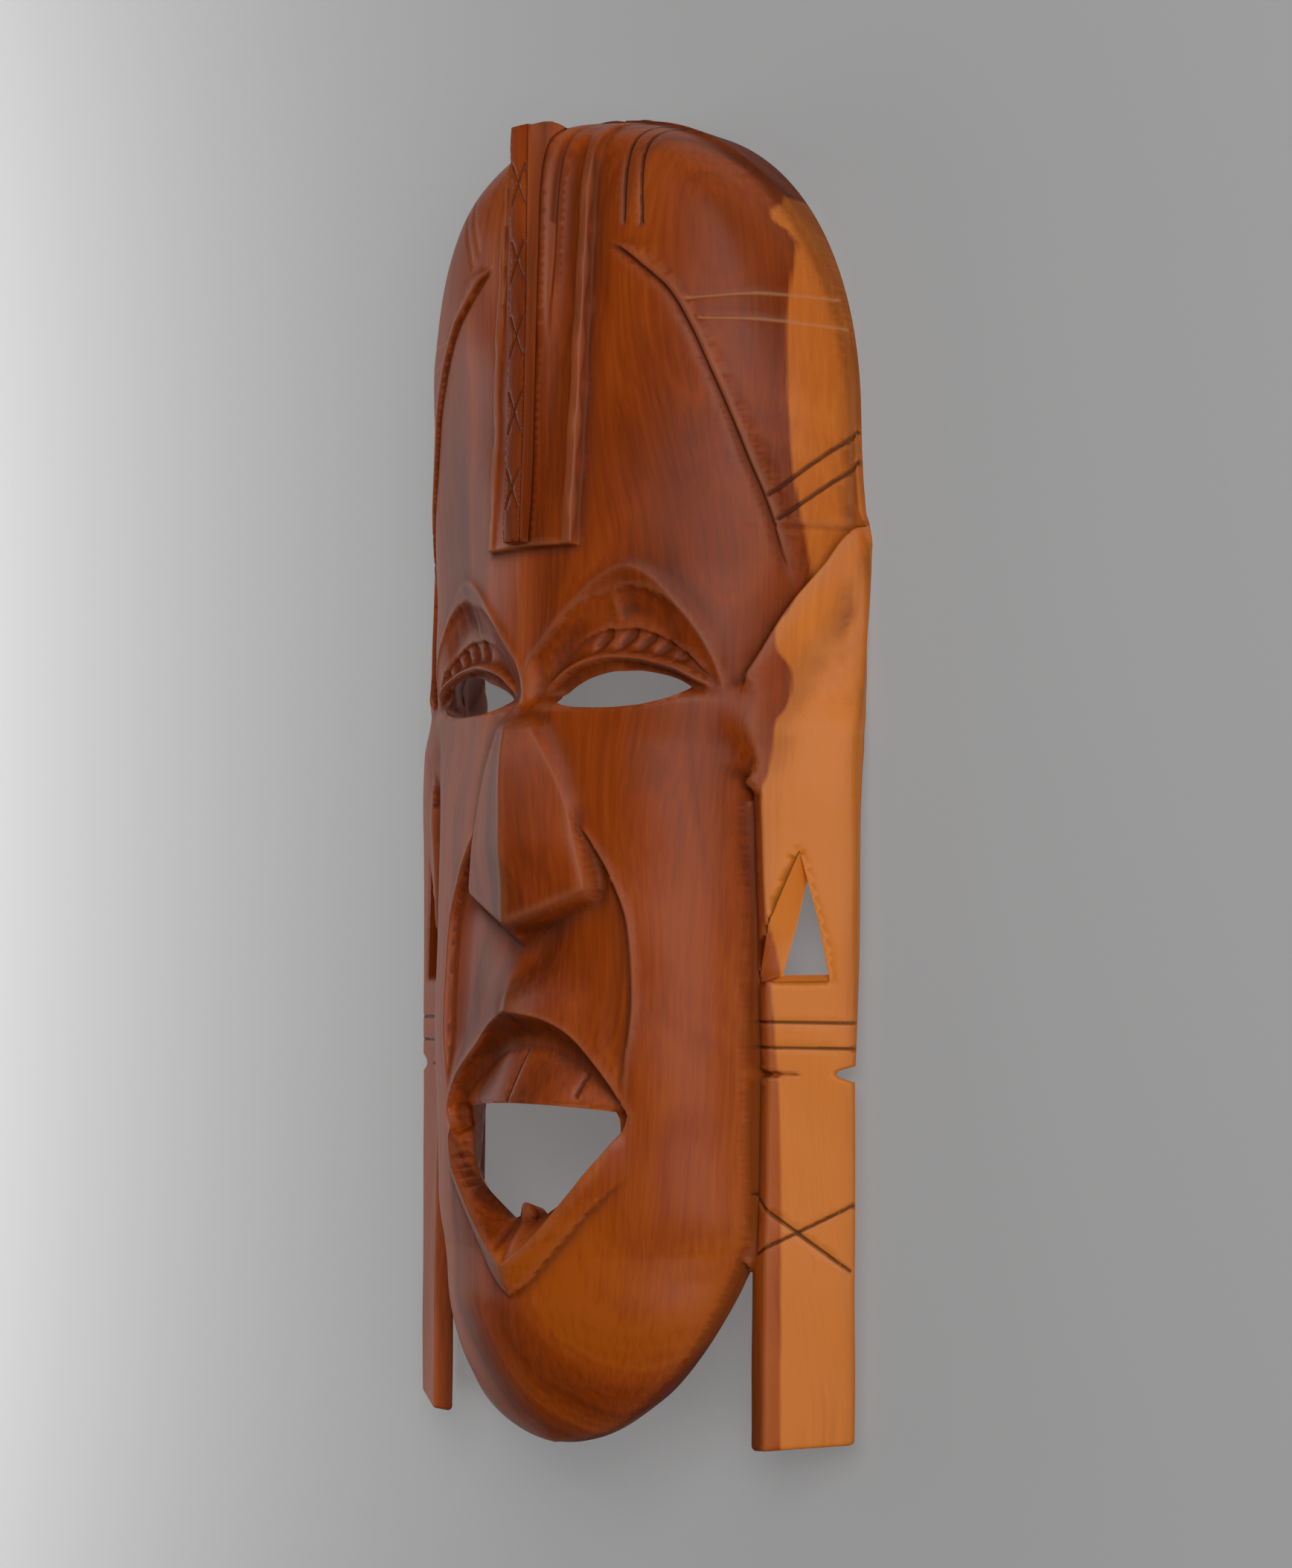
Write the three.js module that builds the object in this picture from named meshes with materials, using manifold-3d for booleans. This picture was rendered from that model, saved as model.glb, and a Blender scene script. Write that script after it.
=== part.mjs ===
// A long carved wooden mask with a crested brow, a wide open mouth and hanging ears.
// It lies on its back: +X is the viewer's right, +Y runs from chin to crown, +Z points out of the face.
// Every size is in millimetres, and the back of the rim lies on z = 0.

import * as THREE from 'three';
import Module from 'manifold-3d';

// Driving dimensions

const CROWN = { halfWidth: 105.6, centreY: 200, rise: 127.5, power: 2.17, capLimit: 0.988, rim: 3.5 };
const JAW = { halfWidth: 79.5, centreY: -90, drop: 95, power: 1.95, footX: 75.7, footY: 40 };
const EAR = {
  outerX: 111.3, topY: 163, rootY: 110, bottomInnerY: -183, bottomOuterY: -179, ridgeX: 85, innerX: 77.2,
  gapY: -113.2, webX: 75.5, bevelSlope: 0.28, hollow: 2.4, lip: 1, thickness: 6, headY: 82, headX: 84,
};
const EAR_UNDERCUT = { width: 3.5, top: 11.9, slope: 1.25, upToY: -10 };
const HAIR = { lowY: 112, highY: 269, step: 1.8, fade: 13 };
const CREASE = { lowY: 92, highY: 163, depth: 3.6, reach: 14 };
const CREST = { halfWidth: 22.5, bottomHalf: 19.3, leanY: 250, bottomY: 156.5, rise: 3.1, topY: 315.5,
  gableX: 17.5, gableTopX: 4 };
const COMB = { halfWidth: 4.4, bottomY: 158, topY: 317, peakY: 321.5, peakZ: 69.5, foot: 40 };
const NOSE = { topY: 94, tipY: 14, wingX: 29.2, wingY: 26.3, underSlope: 1.7, underReach: 10,
  lap: 0.25 };
const SOCKET = { innerX: 3, outerX: 72, depth: 3.4, back: 2.6, lid: 2.8, cornerY: 100.2, lowY: 96.5 };
const MUZZLE = { depth: 5.4, peak: 6.4, rim: 1.4, peakTopY: 8, peakReach: 30 };
const LIP = { hollow: 8.5, swell: 5.5, rim: 5.2, bevel: 13 };
const MOUTH = { cornerX: 46.3, topY: -54, holeX: 38.6, cornerDrop: 3 };
const TONGUE = { x: 2.6, halfWidth: 4.2, topY: -91.5, round: 5 };
const EYE = { innerX: 12.8, outerX: 62.4, middleX: 36, middleY: 101.3, splayX: 1.42, splayY: 1.5,
  lift: 2.6 };
const NOTCH = { y: -42.3, half: 3, outerDepth: 6.5, innerFromX: 75, innerToX: 94, innerDepth: 3.5 };
const WALL = { face: 14, crown: 13.5, cheek: 8.5, jaw: 15, taper: 1.1 };
// The wall is thinner past the end of each eye and beside the mouth
const THINNED = { by: 6, eyeX: 68, eyeY: 103, mouthX: 52, mouthY: -68 };
const BLOCK = { margin: 4, floor: -12, ceiling: 120, coarsest: 4 };
// Surfaces that would lie in one plane are kept a skin apart, and points snap together within a snap
const SKIN = 0.05;
const SNAP = 0.002;
const MESH = {
  plain: { finest: 10, tolerance: 0.95 },
  carved: { finest: 5, tolerance: 0.54 },
  back: { finest: 12, tolerance: 4 },
};

// Profiles, each a list of [y, value], or of [x, value] for the brow, the lid and the lips

const MIDLINE = [[-187, 53.5], [-182, 58], [-173, 65], [-155, 74], [-127, 80], [-95, 80], [-50, 78.5],
  [0, 76], [60, 73.5], [110, 72.5], [150, 71.5], [213, 65.5], [267, 60.5], [330, 55]];
const HALF_WIDTH = [[-120, 77], [-92, 79.5], [60, 79.5], [80, 83], [95, 90], [110, 96], [131, 101],
  [165, 106], [185, 106.4], [200, 106.4]];
const FULLNESS = [[-110, 1.5], [-70, 1.75], [-20, 2], [60, 2], [110, 1.85], [150, 1.58], [190, 1.64],
  [240, 1.85]];
const EDGE_HEIGHT = [[-186, 53], [-172, 50.9], [-162, 46.5], [-150, 42.8], [-138, 39], [-110, 30],
  [-60, 23], [0, 20], [60, 18], [95, 6], [112, 0]];
const FOOT_HEIGHT = [[-186, 49], [-172, 46.9], [-162, 42.2], [-150, 38.8], [-138, 35], [-113, 26],
  [-60, 18], [0, 8], [40, 0]];
const EAR_EDGE = [[-180, 13.2], [-42, 12.5], [12, 12.3], [48, 12.3], [66, 12.8], [84, 12], [102, 7.2],
  [120, 5.4], [163, 4]];
const CREST_GABLE = [[160, 0.6], [180, 0.9], [210, 2.2], [240, 4.2], [270, 5.6], [293, 6.6], [320, 6.6]];
const COMB_FRONT = [[158, 79.6], [202, 77.8], [240, 76.5], [278, 75.8], [317, 75.2]];
const EAR_SLOPE = [[-180, 0.77], [-125, 0.765], [-50, 0.69], [0, 0.74], [72, 0.9], [105, 1.06],
  [163, 1.06]];
const EAR_CREASE = [[60, 79.2], [85, 76.5], [101, 78], [112, 82], [131, 90], [144, 97], [157, 103.5],
  [163, 111]];
const BROW = [[0, 104], [8.4, 120], [18.3, 132], [28, 141.5], [40, 147], [51.4, 141.5], [60, 131],
  [67, 118], [72, 104]];
const LID = [[6, 103], [18, 110.7], [32, 114.6], [47, 112.8], [58, 109.3], [68, 104.5]];
const CHEEK_RIDGE = [[-57, 46.3], [-49, 45.5], [-16, 47.5], [0, 46.9], [14, 45.3], [31, 39], [52, 25.5]];
const LIP_ARCH = [[0, -19], [10, -21.2], [19, -25.6], [29, -34.5], [40, -46.5], [46.3, -57]];
const LIP_RIM = [[0, -115], [10.3, -107], [23, -93], [35.6, -77], [43.5, -64.5], [46.3, -57]];
const LOWER_LIP = [[0, -126.7], [8, -121], [19, -109], [32.5, -93.5], [46, -80]];
const MOUTH_SIDE = [[0, -99], [12, -95.2], [19, -92], [28, -86], [33.8, -80], [38.6, -65], [39.5, -56.5]];
const MOUTH_HOLE = [[-98.4, 6.8], [-95.2, 11], [-92, 16], [-86, 26.8], [-80, 32.1], [-75, 35.3],
  [-69.5, 36.7], [-65, 37.3], [-60, 37.6], [-57, 36.8]];
const MOUTH_SPLAY = [[-98, 3], [-85, 9], [-73, 15], [-61, 19]];
const HAIR_LINE = [[112, 91], [140, 88], [169, 84.5], [187, 80.5], [205, 75], [221, 69.5], [236, 63.5],
  [250, 55.5], [261, 44], [270, 33]];
const NOSE_RIDGE = [[14, 84.3], [27, 84.8], [47, 86.8], [70, 86.4], [88, 83.7], [97, 76]];
const NOSE_SLOPE = [[14, 0.42], [26, 0.43], [39, 0.48], [68, 0.61], [88, 0.7]];

// How square the crown's edge is turned over, as a list of [x, power]
const CAP_POWER = [[0, 16], [30, 18], [60, 19], [88, 12]];

// Outlines, each a list of [x, y]

const EYE_UPPER = [[18.5, 104], [26, 107], [35, 108.8], [42, 108.8], [50, 107.5], [57, 105.3],
  [62.4, 102]];
const EYE_LOWER = [[60, 99.6], [54.5, 97.2], [46, 95.4], [36, 94.8], [25, 95.2], [14.6, 97.2],
  [12.8, 100.2]];
const SLOT_FRONT = [[79.4, -8], [103.4, -7.6], [100.5, 14], [95, 41], [85.4, 14]];
const SLOT_BACK = [[87, -5.4], [101.4, -5.2], [99, 12], [95.6, 34], [91.2, 12]];

// Small helpers

const clamp = (v, low, high) => Math.min(Math.max(v, low), high);

const smooth = (from, to, v) => {
  const t = clamp((v - from) / (to - from), 0, 1);
  return t * t * (3 - 2 * t);
};

// A smooth curve through stations that never overshoots them
function profile(stations) {
  const at = stations.map((s) => s[0]);
  const value = stations.map((s) => s[1]);
  const last = at.length - 1;
  const rise = at.slice(1).map((v, i) => (value[i + 1] - value[i]) / (v - at[i]));
  const slope = at.map((_, i) => {
    if (i === 0) return rise[0];
    if (i === last) return rise[last - 1];
    const product = rise[i - 1] * rise[i];
    return product > 0 ? 2 * product / (rise[i - 1] + rise[i]) : 0;
  });
  return (v) => {
    const p = clamp(v, at[0], at[last]);
    let i = 0;
    while (i < last - 1 && p > at[i + 1]) i += 1;
    const width = at[i + 1] - at[i];
    const t = (p - at[i]) / width;
    const t2 = t * t;
    const t3 = t2 * t;
    return value[i] * (2 * t3 - 3 * t2 + 1) + value[i + 1] * (3 * t2 - 2 * t3)
      + width * (slope[i] * (t3 - 2 * t2 + t) + slope[i + 1] * (t3 - t2));
  };
}

const midline = profile(MIDLINE);
const halfWidth = profile(HALF_WIDTH);
const fullness = profile(FULLNESS);
const edgeHeight = profile(EDGE_HEIGHT);
const footHeight = profile(FOOT_HEIGHT);
const earEdge = profile(EAR_EDGE);
const earSlope = profile(EAR_SLOPE);
const earCrease = profile(EAR_CREASE);
const brow = profile(BROW);
const lid = profile(LID);
const cheekRidge = profile(CHEEK_RIDGE);
const lipArch = profile(LIP_ARCH);
const lipRim = profile(LIP_RIM);
const lowerLip = profile(LOWER_LIP);
const mouthSide = profile(MOUTH_SIDE);
const hairLine = profile(HAIR_LINE);
const noseRidge = profile(NOSE_RIDGE);
const noseSlope = profile(NOSE_SLOPE);
const crestGable = profile(CREST_GABLE);
const mouthEdge = profile(MOUTH_HOLE);
const mouthSplay = profile(MOUTH_SPLAY);
const capPower = profile(CAP_POWER);

// Half-width of the head at a height: straight cheeks, drawn in round the chin
function headHalfWidth(y) {
  const drop = clamp((JAW.centreY - y) / JAW.drop, 0, 0.9999);
  return halfWidth(y) * (1 - drop ** JAW.power) ** (1 / JAW.power);
}

// The plain rounded head, before any carving; past its own edge it runs on level
function headHeight(x, y) {
  const edge = edgeHeight(y);
  const n = fullness(y);
  const across = clamp(x / headHalfWidth(y), 0, 0.995);
  const bulge = (1 - across ** n) ** (1 / n);
  const up = Math.max(y - CROWN.centreY, 0) / CROWN.rise;
  const reach = ((x / CROWN.halfWidth) ** CROWN.power + up ** CROWN.power) ** (1 / CROWN.power);
  const cap = Math.sqrt(1 - clamp(reach, 0, CROWN.capLimit) ** capPower(x));
  return Math.max((edge + (midline(y) - edge) * bulge) * cap, CROWN.rim);
}

// The hair stands over the forehead in a low step that fades away from its edge
function hairHeight(x, y) {
  const fade = 1 - (x - hairLine(y)) / HAIR.fade;
  const ends = smooth(HAIR.lowY, HAIR.lowY + 28, y) * (1 - smooth(HAIR.highY - 8, HAIR.highY + 3, y));
  return headHeight(x, y) + HAIR.step * fade * ends - SKIN;
}

// The head surface dips towards the crease over the ear
function creaseHeight(x, y) {
  const gap = clamp((earCrease(y) - x) / CREASE.reach, 0, 1);
  return headHeight(x, y) - CREASE.depth * (1 - gap) * smooth(CREASE.lowY, CREASE.lowY + 20, y) + SKIN;
}

// The ear board: a sloping plank with a gentle hollow, and a bevel towards the cheek
function earHeight(x, y) {
  const joined = smooth(60, 90, y);
  const board = earEdge(y) + earSlope(y) * (EAR.outerX - Math.max(x, EAR.ridgeX - 25 * joined));
  const bevel = EAR.bevelSlope * Math.max(EAR.ridgeX - x, 0) * (1 - joined);
  const dish = EAR.hollow * smooth(40, 90, y) * (1 - smooth(130, 160, y)) * smooth(80, 96, x)
    * (1 - smooth(96, 111, x));
  const lip = EAR.lip * smooth(92, 104, y) * smooth(12, 0, x - earCrease(y));
  return board - bevel - dish + lip;
}

// The raised panel under the comb, higher towards its middle
const crestHeight = (x, y) =>
  headHeight(x, y) + CREST.rise + crestGable(y) * smooth(CREST.gableX, CREST.gableTopX, x);

// An eye socket: deepest at its back under the brow, rising to the lid over the eye
function socketHeight(x, y) {
  const over = y - lid(x);
  const lidRise = SOCKET.lid * Math.exp(-((over / 4) ** 2));
  const deep = SOCKET.depth + SOCKET.back * smooth(2, 14, brow(x) - y);
  return headHeight(x, y) - deep * (1 - 0.4 * smooth(52, 66, x)) + lidRise;
}

// The ground between the cheek ridges: low beside the nose, and drawn up to the point of the lip
function muzzleHeight(x, y) {
  const flank = MUZZLE.depth * smooth(54, 40, y) * smooth(-57, -25, y);
  const fill = 1 - 0.75 * smooth(30, 6, x) * smooth(14, -19, y);
  const above = y - lipArch(x);
  const peak = MUZZLE.peak * Math.exp(-((x / 8) ** 2)) * smooth(26, 0, above);
  return headHeight(x, y) - flank * fill + peak + MUZZLE.rim * smooth(46, 34, x) * smooth(20, 0, above);
}

// The hollow under the arch, where the lip swells again towards the opening
function lipHeight(x, y) {
  const inside = lipArch(x) - y;
  const drop = LIP.hollow * smooth(0, 9, inside) - LIP.swell * smooth(10, 32, inside) * smooth(40, 10, x);
  const peak = MUZZLE.peak * Math.exp(-((x / 8) ** 2)) * smooth(8, 0, inside);
  return headHeight(x, y) + peak + MUZZLE.rim * smooth(46, 34, x) - drop * smooth(47, 38, x);
}

// The lower lip: a V-shaped rim that falls away to the chin, and inwards to the opening
function lowerLipHeight(x, y) {
  const rimY = lipRim(x);
  const rise = LIP.rim * smooth(49, 30, x);
  const down = clamp((rimY - y) / (rimY - lowerLip(x)), 0, 1);
  return headHeight(x, y) + rise * (1 - down);
}

function lipBevelHeight(x, y) {
  const rimY = lipRim(x);
  const reach = Math.max(mouthSide(Math.min(x, MOUTH.holeX)) - rimY, 1.2);
  return headHeight(x, y) + LIP.rim * smooth(49, 30, x) - LIP.bevel * clamp((y - rimY) / reach, 0, 1);
}

const noseFront = (x, y) => noseRidge(y) - noseSlope(y) * x;

const noseEdgeY = (x) => NOSE.tipY + (NOSE.wingY - NOSE.tipY) * (x / NOSE.wingX);

// The underside starts a little inside the nose, so that the two overlap
function noseUnder(x, y) {
  const edgeY = noseEdgeY(x);
  return noseFront(x, edgeY) - NOSE.lap - NOSE.underSlope * Math.max(edgeY - y, 0);
}

// The hollow back follows the face at a wall's thickness, thinner past the ends of the eyes and the mouth
function hollowHeight(x, y) {
  const byEye = Math.exp(-(((x - THINNED.eyeX) / 16) ** 2) - ((y - THINNED.eyeY) / 18) ** 2);
  const byMouth = Math.exp(-(((x - THINNED.mouthX) / 14) ** 2) - ((y - THINNED.mouthY) / 16) ** 2);
  return headHeight(x * WALL.taper, y) - WALL.face + THINNED.by * (byEye + byMouth);
}

// The back of an ear follows its front at the board's thickness
function earBackHeight(x, y) {
  const lifted = Math.max(earEdge(y) - EAR.thickness, 0);
  const board = lifted + earSlope(y) * (EAR.outerX - Math.max(x, EAR.ridgeX));
  return board * (1 - smooth(EAR.rootY - 40, EAR.rootY, y)) + SKIN;
}

// A closed block under a height function, somewhat wider than a region of the face,
// on a grid that is fine only where the form needs it
function heightBlock(region, height, { finest, tolerance }, floor = 0) {
  const cell = finest * BLOCK.coarsest;
  const bound = (axis, low) => {
    const reach = Math[low ? 'min' : 'max'](...region.map((point) => point[axis]));
    const cells = (reach + (low ? -BLOCK.margin : BLOCK.margin)) / cell;
    return cell * (low ? Math.floor(cells) : Math.ceil(cells));
  };
  const [lowX, highX, lowY, highY] = [bound(0, true), bound(0, false), bound(1, true), bound(1, false)];
  const countX = Math.round((highX - lowX) / finest);
  const countY = Math.round((highY - lowY) / finest);
  const xAt = (i) => lowX + i * finest;
  const yAt = (j) => lowY + j * finest;
  const zAt = (x, y) => height(Math.abs(x), y);
  const leaves = [];
  const corners = new Set();
  const key = (i, j) => i * 65536 + j;

  function split(i, j, size) {
    const z = [zAt(xAt(i), yAt(j)), zAt(xAt(i + size), yAt(j)),
      zAt(xAt(i), yAt(j + size)), zAt(xAt(i + size), yAt(j + size))];
    let worst = 0;
    for (let a = 0; a <= 4; a += 1) {
      for (let b = 0; b <= 4; b += 1) {
        const u = a / 4;
        const v = b / 4;
        const flat = (1 - v) * ((1 - u) * z[0] + u * z[1]) + v * ((1 - u) * z[2] + u * z[3]);
        worst = Math.max(worst, Math.abs(flat - zAt(xAt(i + u * size), yAt(j + v * size))));
      }
    }
    if (size > 1 && worst > tolerance) {
      const half = size / 2;
      for (const [di, dj] of [[0, 0], [half, 0], [0, half], [half, half]]) split(i + di, j + dj, half);
      return;
    }
    leaves.push([i, j, size]);
    for (const [di, dj] of [[0, 0], [size, 0], [size, size], [0, size]]) corners.add(key(i + di, j + dj));
  }

  for (let i = 0; i < countX; i += BLOCK.coarsest) {
    for (let j = 0; j < countY; j += BLOCK.coarsest) split(i, j, BLOCK.coarsest);
  }

  const positions = [];
  const triangles = [];
  const numbered = new Map();
  const addPoint = (x, y, z) => positions.push(x, y, z) / 3 - 1;
  const gridPoint = (i, j) => {
    const name = key(i, j);
    if (!numbered.has(name)) numbered.set(name, addPoint(xAt(i), yAt(j), zAt(xAt(i), yAt(j))));
    return numbered.get(name);
  };
  const ringOf = (i, j, width, depth) => {
    const ring = [];
    const visit = (a, b) => {
      if (corners.has(key(a, b))) ring.push(gridPoint(a, b));
    };
    for (let k = 0; k < width; k += 1) visit(i + k, j);
    for (let k = 0; k < depth; k += 1) visit(i + width, j + k);
    for (let k = width; k > 0; k -= 1) visit(i + k, j + depth);
    for (let k = depth; k > 0; k -= 1) visit(i, j + k);
    return ring;
  };
  for (const [i, j, size] of leaves) {
    const ring = ringOf(i, j, size, size);
    if (ring.length === 4) {
      const z = ring.map((p) => positions[3 * p + 2]);
      const turn = Math.abs(z[0] - z[2]) < Math.abs(z[1] - z[3]) ? 0 : 1;
      const [a, b, c, d] = [0, 1, 2, 3].map((k) => ring[(k + turn) % 4]);
      triangles.push(a, b, c, a, c, d);
    } else {
      const x = xAt(i + size / 2);
      const y = yAt(j + size / 2);
      const centre = addPoint(x, y, zAt(x, y));
      ring.forEach((p, k) => triangles.push(centre, p, ring[(k + 1) % ring.length]));
    }
  }
  const border = ringOf(0, 0, countX, countY);
  const below = border.map((p) => addPoint(positions[3 * p], positions[3 * p + 1], floor));
  const middle = addPoint((lowX + highX) / 2, (lowY + highY) / 2, floor);
  border.forEach((p, k) => {
    const next = (k + 1) % border.length;
    triangles.push(p, below[k], border[next], border[next], below[k], below[next]);
    triangles.push(middle, below[next], below[k]);
  });
  return solid(positions, triangles);
}

// Solids

const wasm = await Module();
wasm.setup();

function solid(positions, triangles) {
  return new wasm.Manifold(new wasm.Mesh({
    numProp: 3,
    vertProperties: new Float32Array(positions),
    triVerts: new Uint32Array(triangles),
  }));
}

// A three.js geometry without shared vertices becomes a solid once equal points are one
function solidOf(geometry) {
  const source = geometry.index ? geometry.toNonIndexed() : geometry;
  const place = source.getAttribute('position');
  const positions = [];
  const numbered = new Map();
  const triangles = [];
  for (let k = 0; k < place.count; k += 1) {
    const point = [place.getX(k), place.getY(k), place.getZ(k)].map((v) => Math.round(v / SNAP) * SNAP);
    const name = point.map((v) => Math.round(v / SNAP)).join();
    if (!numbered.has(name)) numbered.set(name, positions.push(...point) / 3 - 1);
    triangles.push(numbered.get(name));
  }
  const kept = [];
  for (let k = 0; k < triangles.length; k += 3) {
    const [a, b, c] = triangles.slice(k, k + 3);
    if (a !== b && b !== c && a !== c) kept.push(a, b, c);
  }
  return solid(positions, kept);
}

function prism(outline, from = BLOCK.floor, to = BLOCK.ceiling) {
  const shape = new THREE.Shape(outline.map(([x, y]) => new THREE.Vector2(x, y)));
  const geometry = new THREE.ExtrudeGeometry(shape, { depth: to - from, bevelEnabled: false });
  return solidOf(geometry.translate(0, 0, from));
}

const mirrored = (outline) => outline.map(([x, y]) => [-x, y]).reverse();

const steps = (count) => Array.from({ length: count + 1 }, (_, k) => k / count);

const points = (from, to, count, place) => steps(count).map((t) => place(from + t * (to - from)));

const bothSides = (right) => [...right, ...mirrored(right)];

// A quarter of the crown's edge, an ellipse with slightly squared shoulders, set in by a distance
function crownEdge(to, count, inset) {
  const bowed = (v) => Math.abs(v) ** (2 / CROWN.power);
  return points(90, to, count, (degrees) => {
    const angle = degrees * Math.PI / 180;
    return [(CROWN.halfWidth - inset) * bowed(Math.cos(angle)),
      CROWN.centreY + (CROWN.rise - inset) * bowed(Math.sin(angle))];
  });
}

// The head seen from the front: crown, ear roots, straight cheeks and a tapering chin
function headOutline() {
  const side = [[CROWN.halfWidth + 0.3, 192], [CROWN.halfWidth + 1, 180], [107.8, EAR.topY + 5],
    [EAR.outerX, EAR.topY - 8], [EAR.outerX, EAR.rootY], [EAR.headX, EAR.headY],
    [JAW.halfWidth, EAR.headY - 12], [JAW.halfWidth, JAW.centreY]];
  const jaw = points(10, 90, 11, (degrees) => {
    const y = JAW.centreY - JAW.drop * Math.sin(degrees * Math.PI / 180);
    return [degrees === 90 ? 0 : headHalfWidth(y), y];
  });
  return bothSides([...crownEdge(10, 13, 0), ...side, ...jaw]).reverse();
}

// The opening of the hollow back: the head outline set in by the thickness of the rim
function hollowOutline() {
  const rim = (y) => WALL.cheek + (WALL.crown - WALL.cheek) * smooth(110, 170, y);
  const side = points(170, 70, 6, (y) => [halfWidth(y) - rim(y), y]);
  const jaw = points(0, 90, 10, (degrees) => {
    const angle = degrees * Math.PI / 180;
    return [(JAW.halfWidth - WALL.cheek) * Math.cos(angle),
      JAW.centreY - (JAW.drop - WALL.jaw) * Math.sin(angle)];
  });
  return bothSides([...crownEdge(0, 12, WALL.crown), ...side, ...jaw]).reverse();
}

function earBackOutline() {
  return [[JAW.footX, EAR.bottomInnerY - 5], [EAR.outerX + 2, EAR.bottomInnerY - 5],
    [EAR.outerX + 2, EAR.rootY], [JAW.footX, EAR.rootY]];
}

function earOutline() {
  const crease = points(EAR.topY - 0.5, 70, 12, (y) => [earCrease(y), y]);
  return [...crease, [EAR.innerX, 60], [EAR.webX, 50], [EAR.webX, EAR.gapY],
    [EAR.innerX, EAR.gapY - 3.6], [EAR.innerX, EAR.bottomInnerY + 2],
    [EAR.innerX + 2, EAR.bottomInnerY], [EAR.outerX - 2, EAR.bottomOuterY - 1.5],
    [EAR.outerX, EAR.bottomOuterY], [EAR.outerX, EAR.topY - 7]];
}

function hairOutline() {
  const edge = points(HAIR.highY, HAIR.lowY, 12, (y) => [hairLine(y), y]);
  const faded = points(HAIR.lowY, HAIR.highY, 5, (y) => [hairLine(y) + HAIR.fade, y]);
  return [...edge, ...faded].reverse().map(([x, y]) => [Math.min(x, CROWN.halfWidth - 1), y]);
}

function creaseOutline() {
  const edge = points(CREASE.lowY, CREASE.highY, 9, (y) => [earCrease(y) + 2, y]);
  const inner = points(CREASE.highY, CREASE.lowY, 4, (y) => [earCrease(y) - CREASE.reach, y]);
  return [...edge, ...inner];
}

const notchHeight = (x, y) => earHeight(x, y) - NOTCH.innerDepth;

const notchOutline = () => [[NOTCH.innerFromX, NOTCH.y - NOTCH.half], [NOTCH.innerToX, NOTCH.y],
  [NOTCH.innerFromX, NOTCH.y + NOTCH.half]];

const crestOutline = () => [[CREST.halfWidth, CREST.bottomY], [CREST.halfWidth, CREST.topY],
  [-CREST.halfWidth, CREST.topY], [-CREST.halfWidth, CREST.leanY], [-CREST.bottomHalf, CREST.bottomY]];

function socketOutline() {
  const top = points(SOCKET.outerX, SOCKET.innerX, 16, (x) => [x, brow(x)]);
  const below = [[EYE.innerX, SOCKET.cornerY - 1], [EYE.middleX, SOCKET.lowY],
    [EYE.outerX, SOCKET.cornerY - 1]];
  return [...top, [SOCKET.innerX, SOCKET.cornerY + 2], ...below];
}

function muzzleOutline() {
  const ridge = points(51, -57, 14, (y) => [cheekRidge(y), y]);
  return bothSides(ridge).reverse();
}

// The part of a mouth region between two curves of x, drawn across both sides
function band(upper, lower, reach, count = 10) {
  const top = points(0, reach, count, (x) => [x, upper(x)]);
  const bottom = points(reach, 0, count, (x) => [x, lower(x)]);
  const right = [...top, ...bottom];
  return [...right, ...mirrored(right).slice(1, -1)].reverse();
}

const noseOutline = () => bothSides([[1.5, NOSE.topY], [8.5, 87], [19.5, 66], [27.2, 41],
  [NOSE.wingX, NOSE.wingY], [0, NOSE.tipY]]).reverse();

function noseUnderOutline() {
  const top = (x) => noseEdgeY(x) + 4 * NOSE.lap;
  const bottom = (x) => noseEdgeY(x) - NOSE.underReach;
  return band(top, bottom, NOSE.wingX - 4 * NOSE.lap, 4);
}

// An eye's edge in front and at the back, where it opens wider
function eyeEdges(lift) {
  const raise = (x) => lift * smooth(26, 44, x) * smooth(EYE.outerX, 54, x);
  const upper = EYE_UPPER.map(([x, y]) => [x, y + raise(x)]);
  const front = [...EYE_LOWER].reverse().concat([...upper].reverse());
  const back = front.map(([x, y]) => [EYE.middleX + (x - EYE.middleX) * EYE.splayX,
    EYE.middleY + (y - EYE.middleY) * EYE.splayY]);
  return [front, back];
}

// The mouth's edge in front, with the tongue standing in its lower point, and at the back
function mouthEdges() {
  const right = points(MOUTH_HOLE[0][0], MOUTH_HOLE.at(-1)[0], 8, (y) => [mouthEdge(y), y]);
  const top = points(0.6, -0.6, 3, (t) => [t * MOUTH.holeX, MOUTH.topY - MOUTH.cornerDrop * t * t]);
  const tongue = points(180, 0, 6, (degrees) => {
    const angle = degrees * Math.PI / 180;
    return [TONGUE.x + TONGUE.halfWidth * Math.cos(angle),
      TONGUE.topY + TONGUE.round * (Math.sin(angle) - 1)];
  });
  const front = [...mirrored(right), ...tongue.slice(1, -1), ...right, ...top];
  const back = front.map(([x, y]) => {
    const wider = mouthSplay(y) * smooth(TONGUE.halfWidth, 24, Math.abs(x));
    return [x + Math.sign(x) * wider, y - 3 * smooth(-80, -96, y)];
  });
  return [front, back];
}

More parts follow.
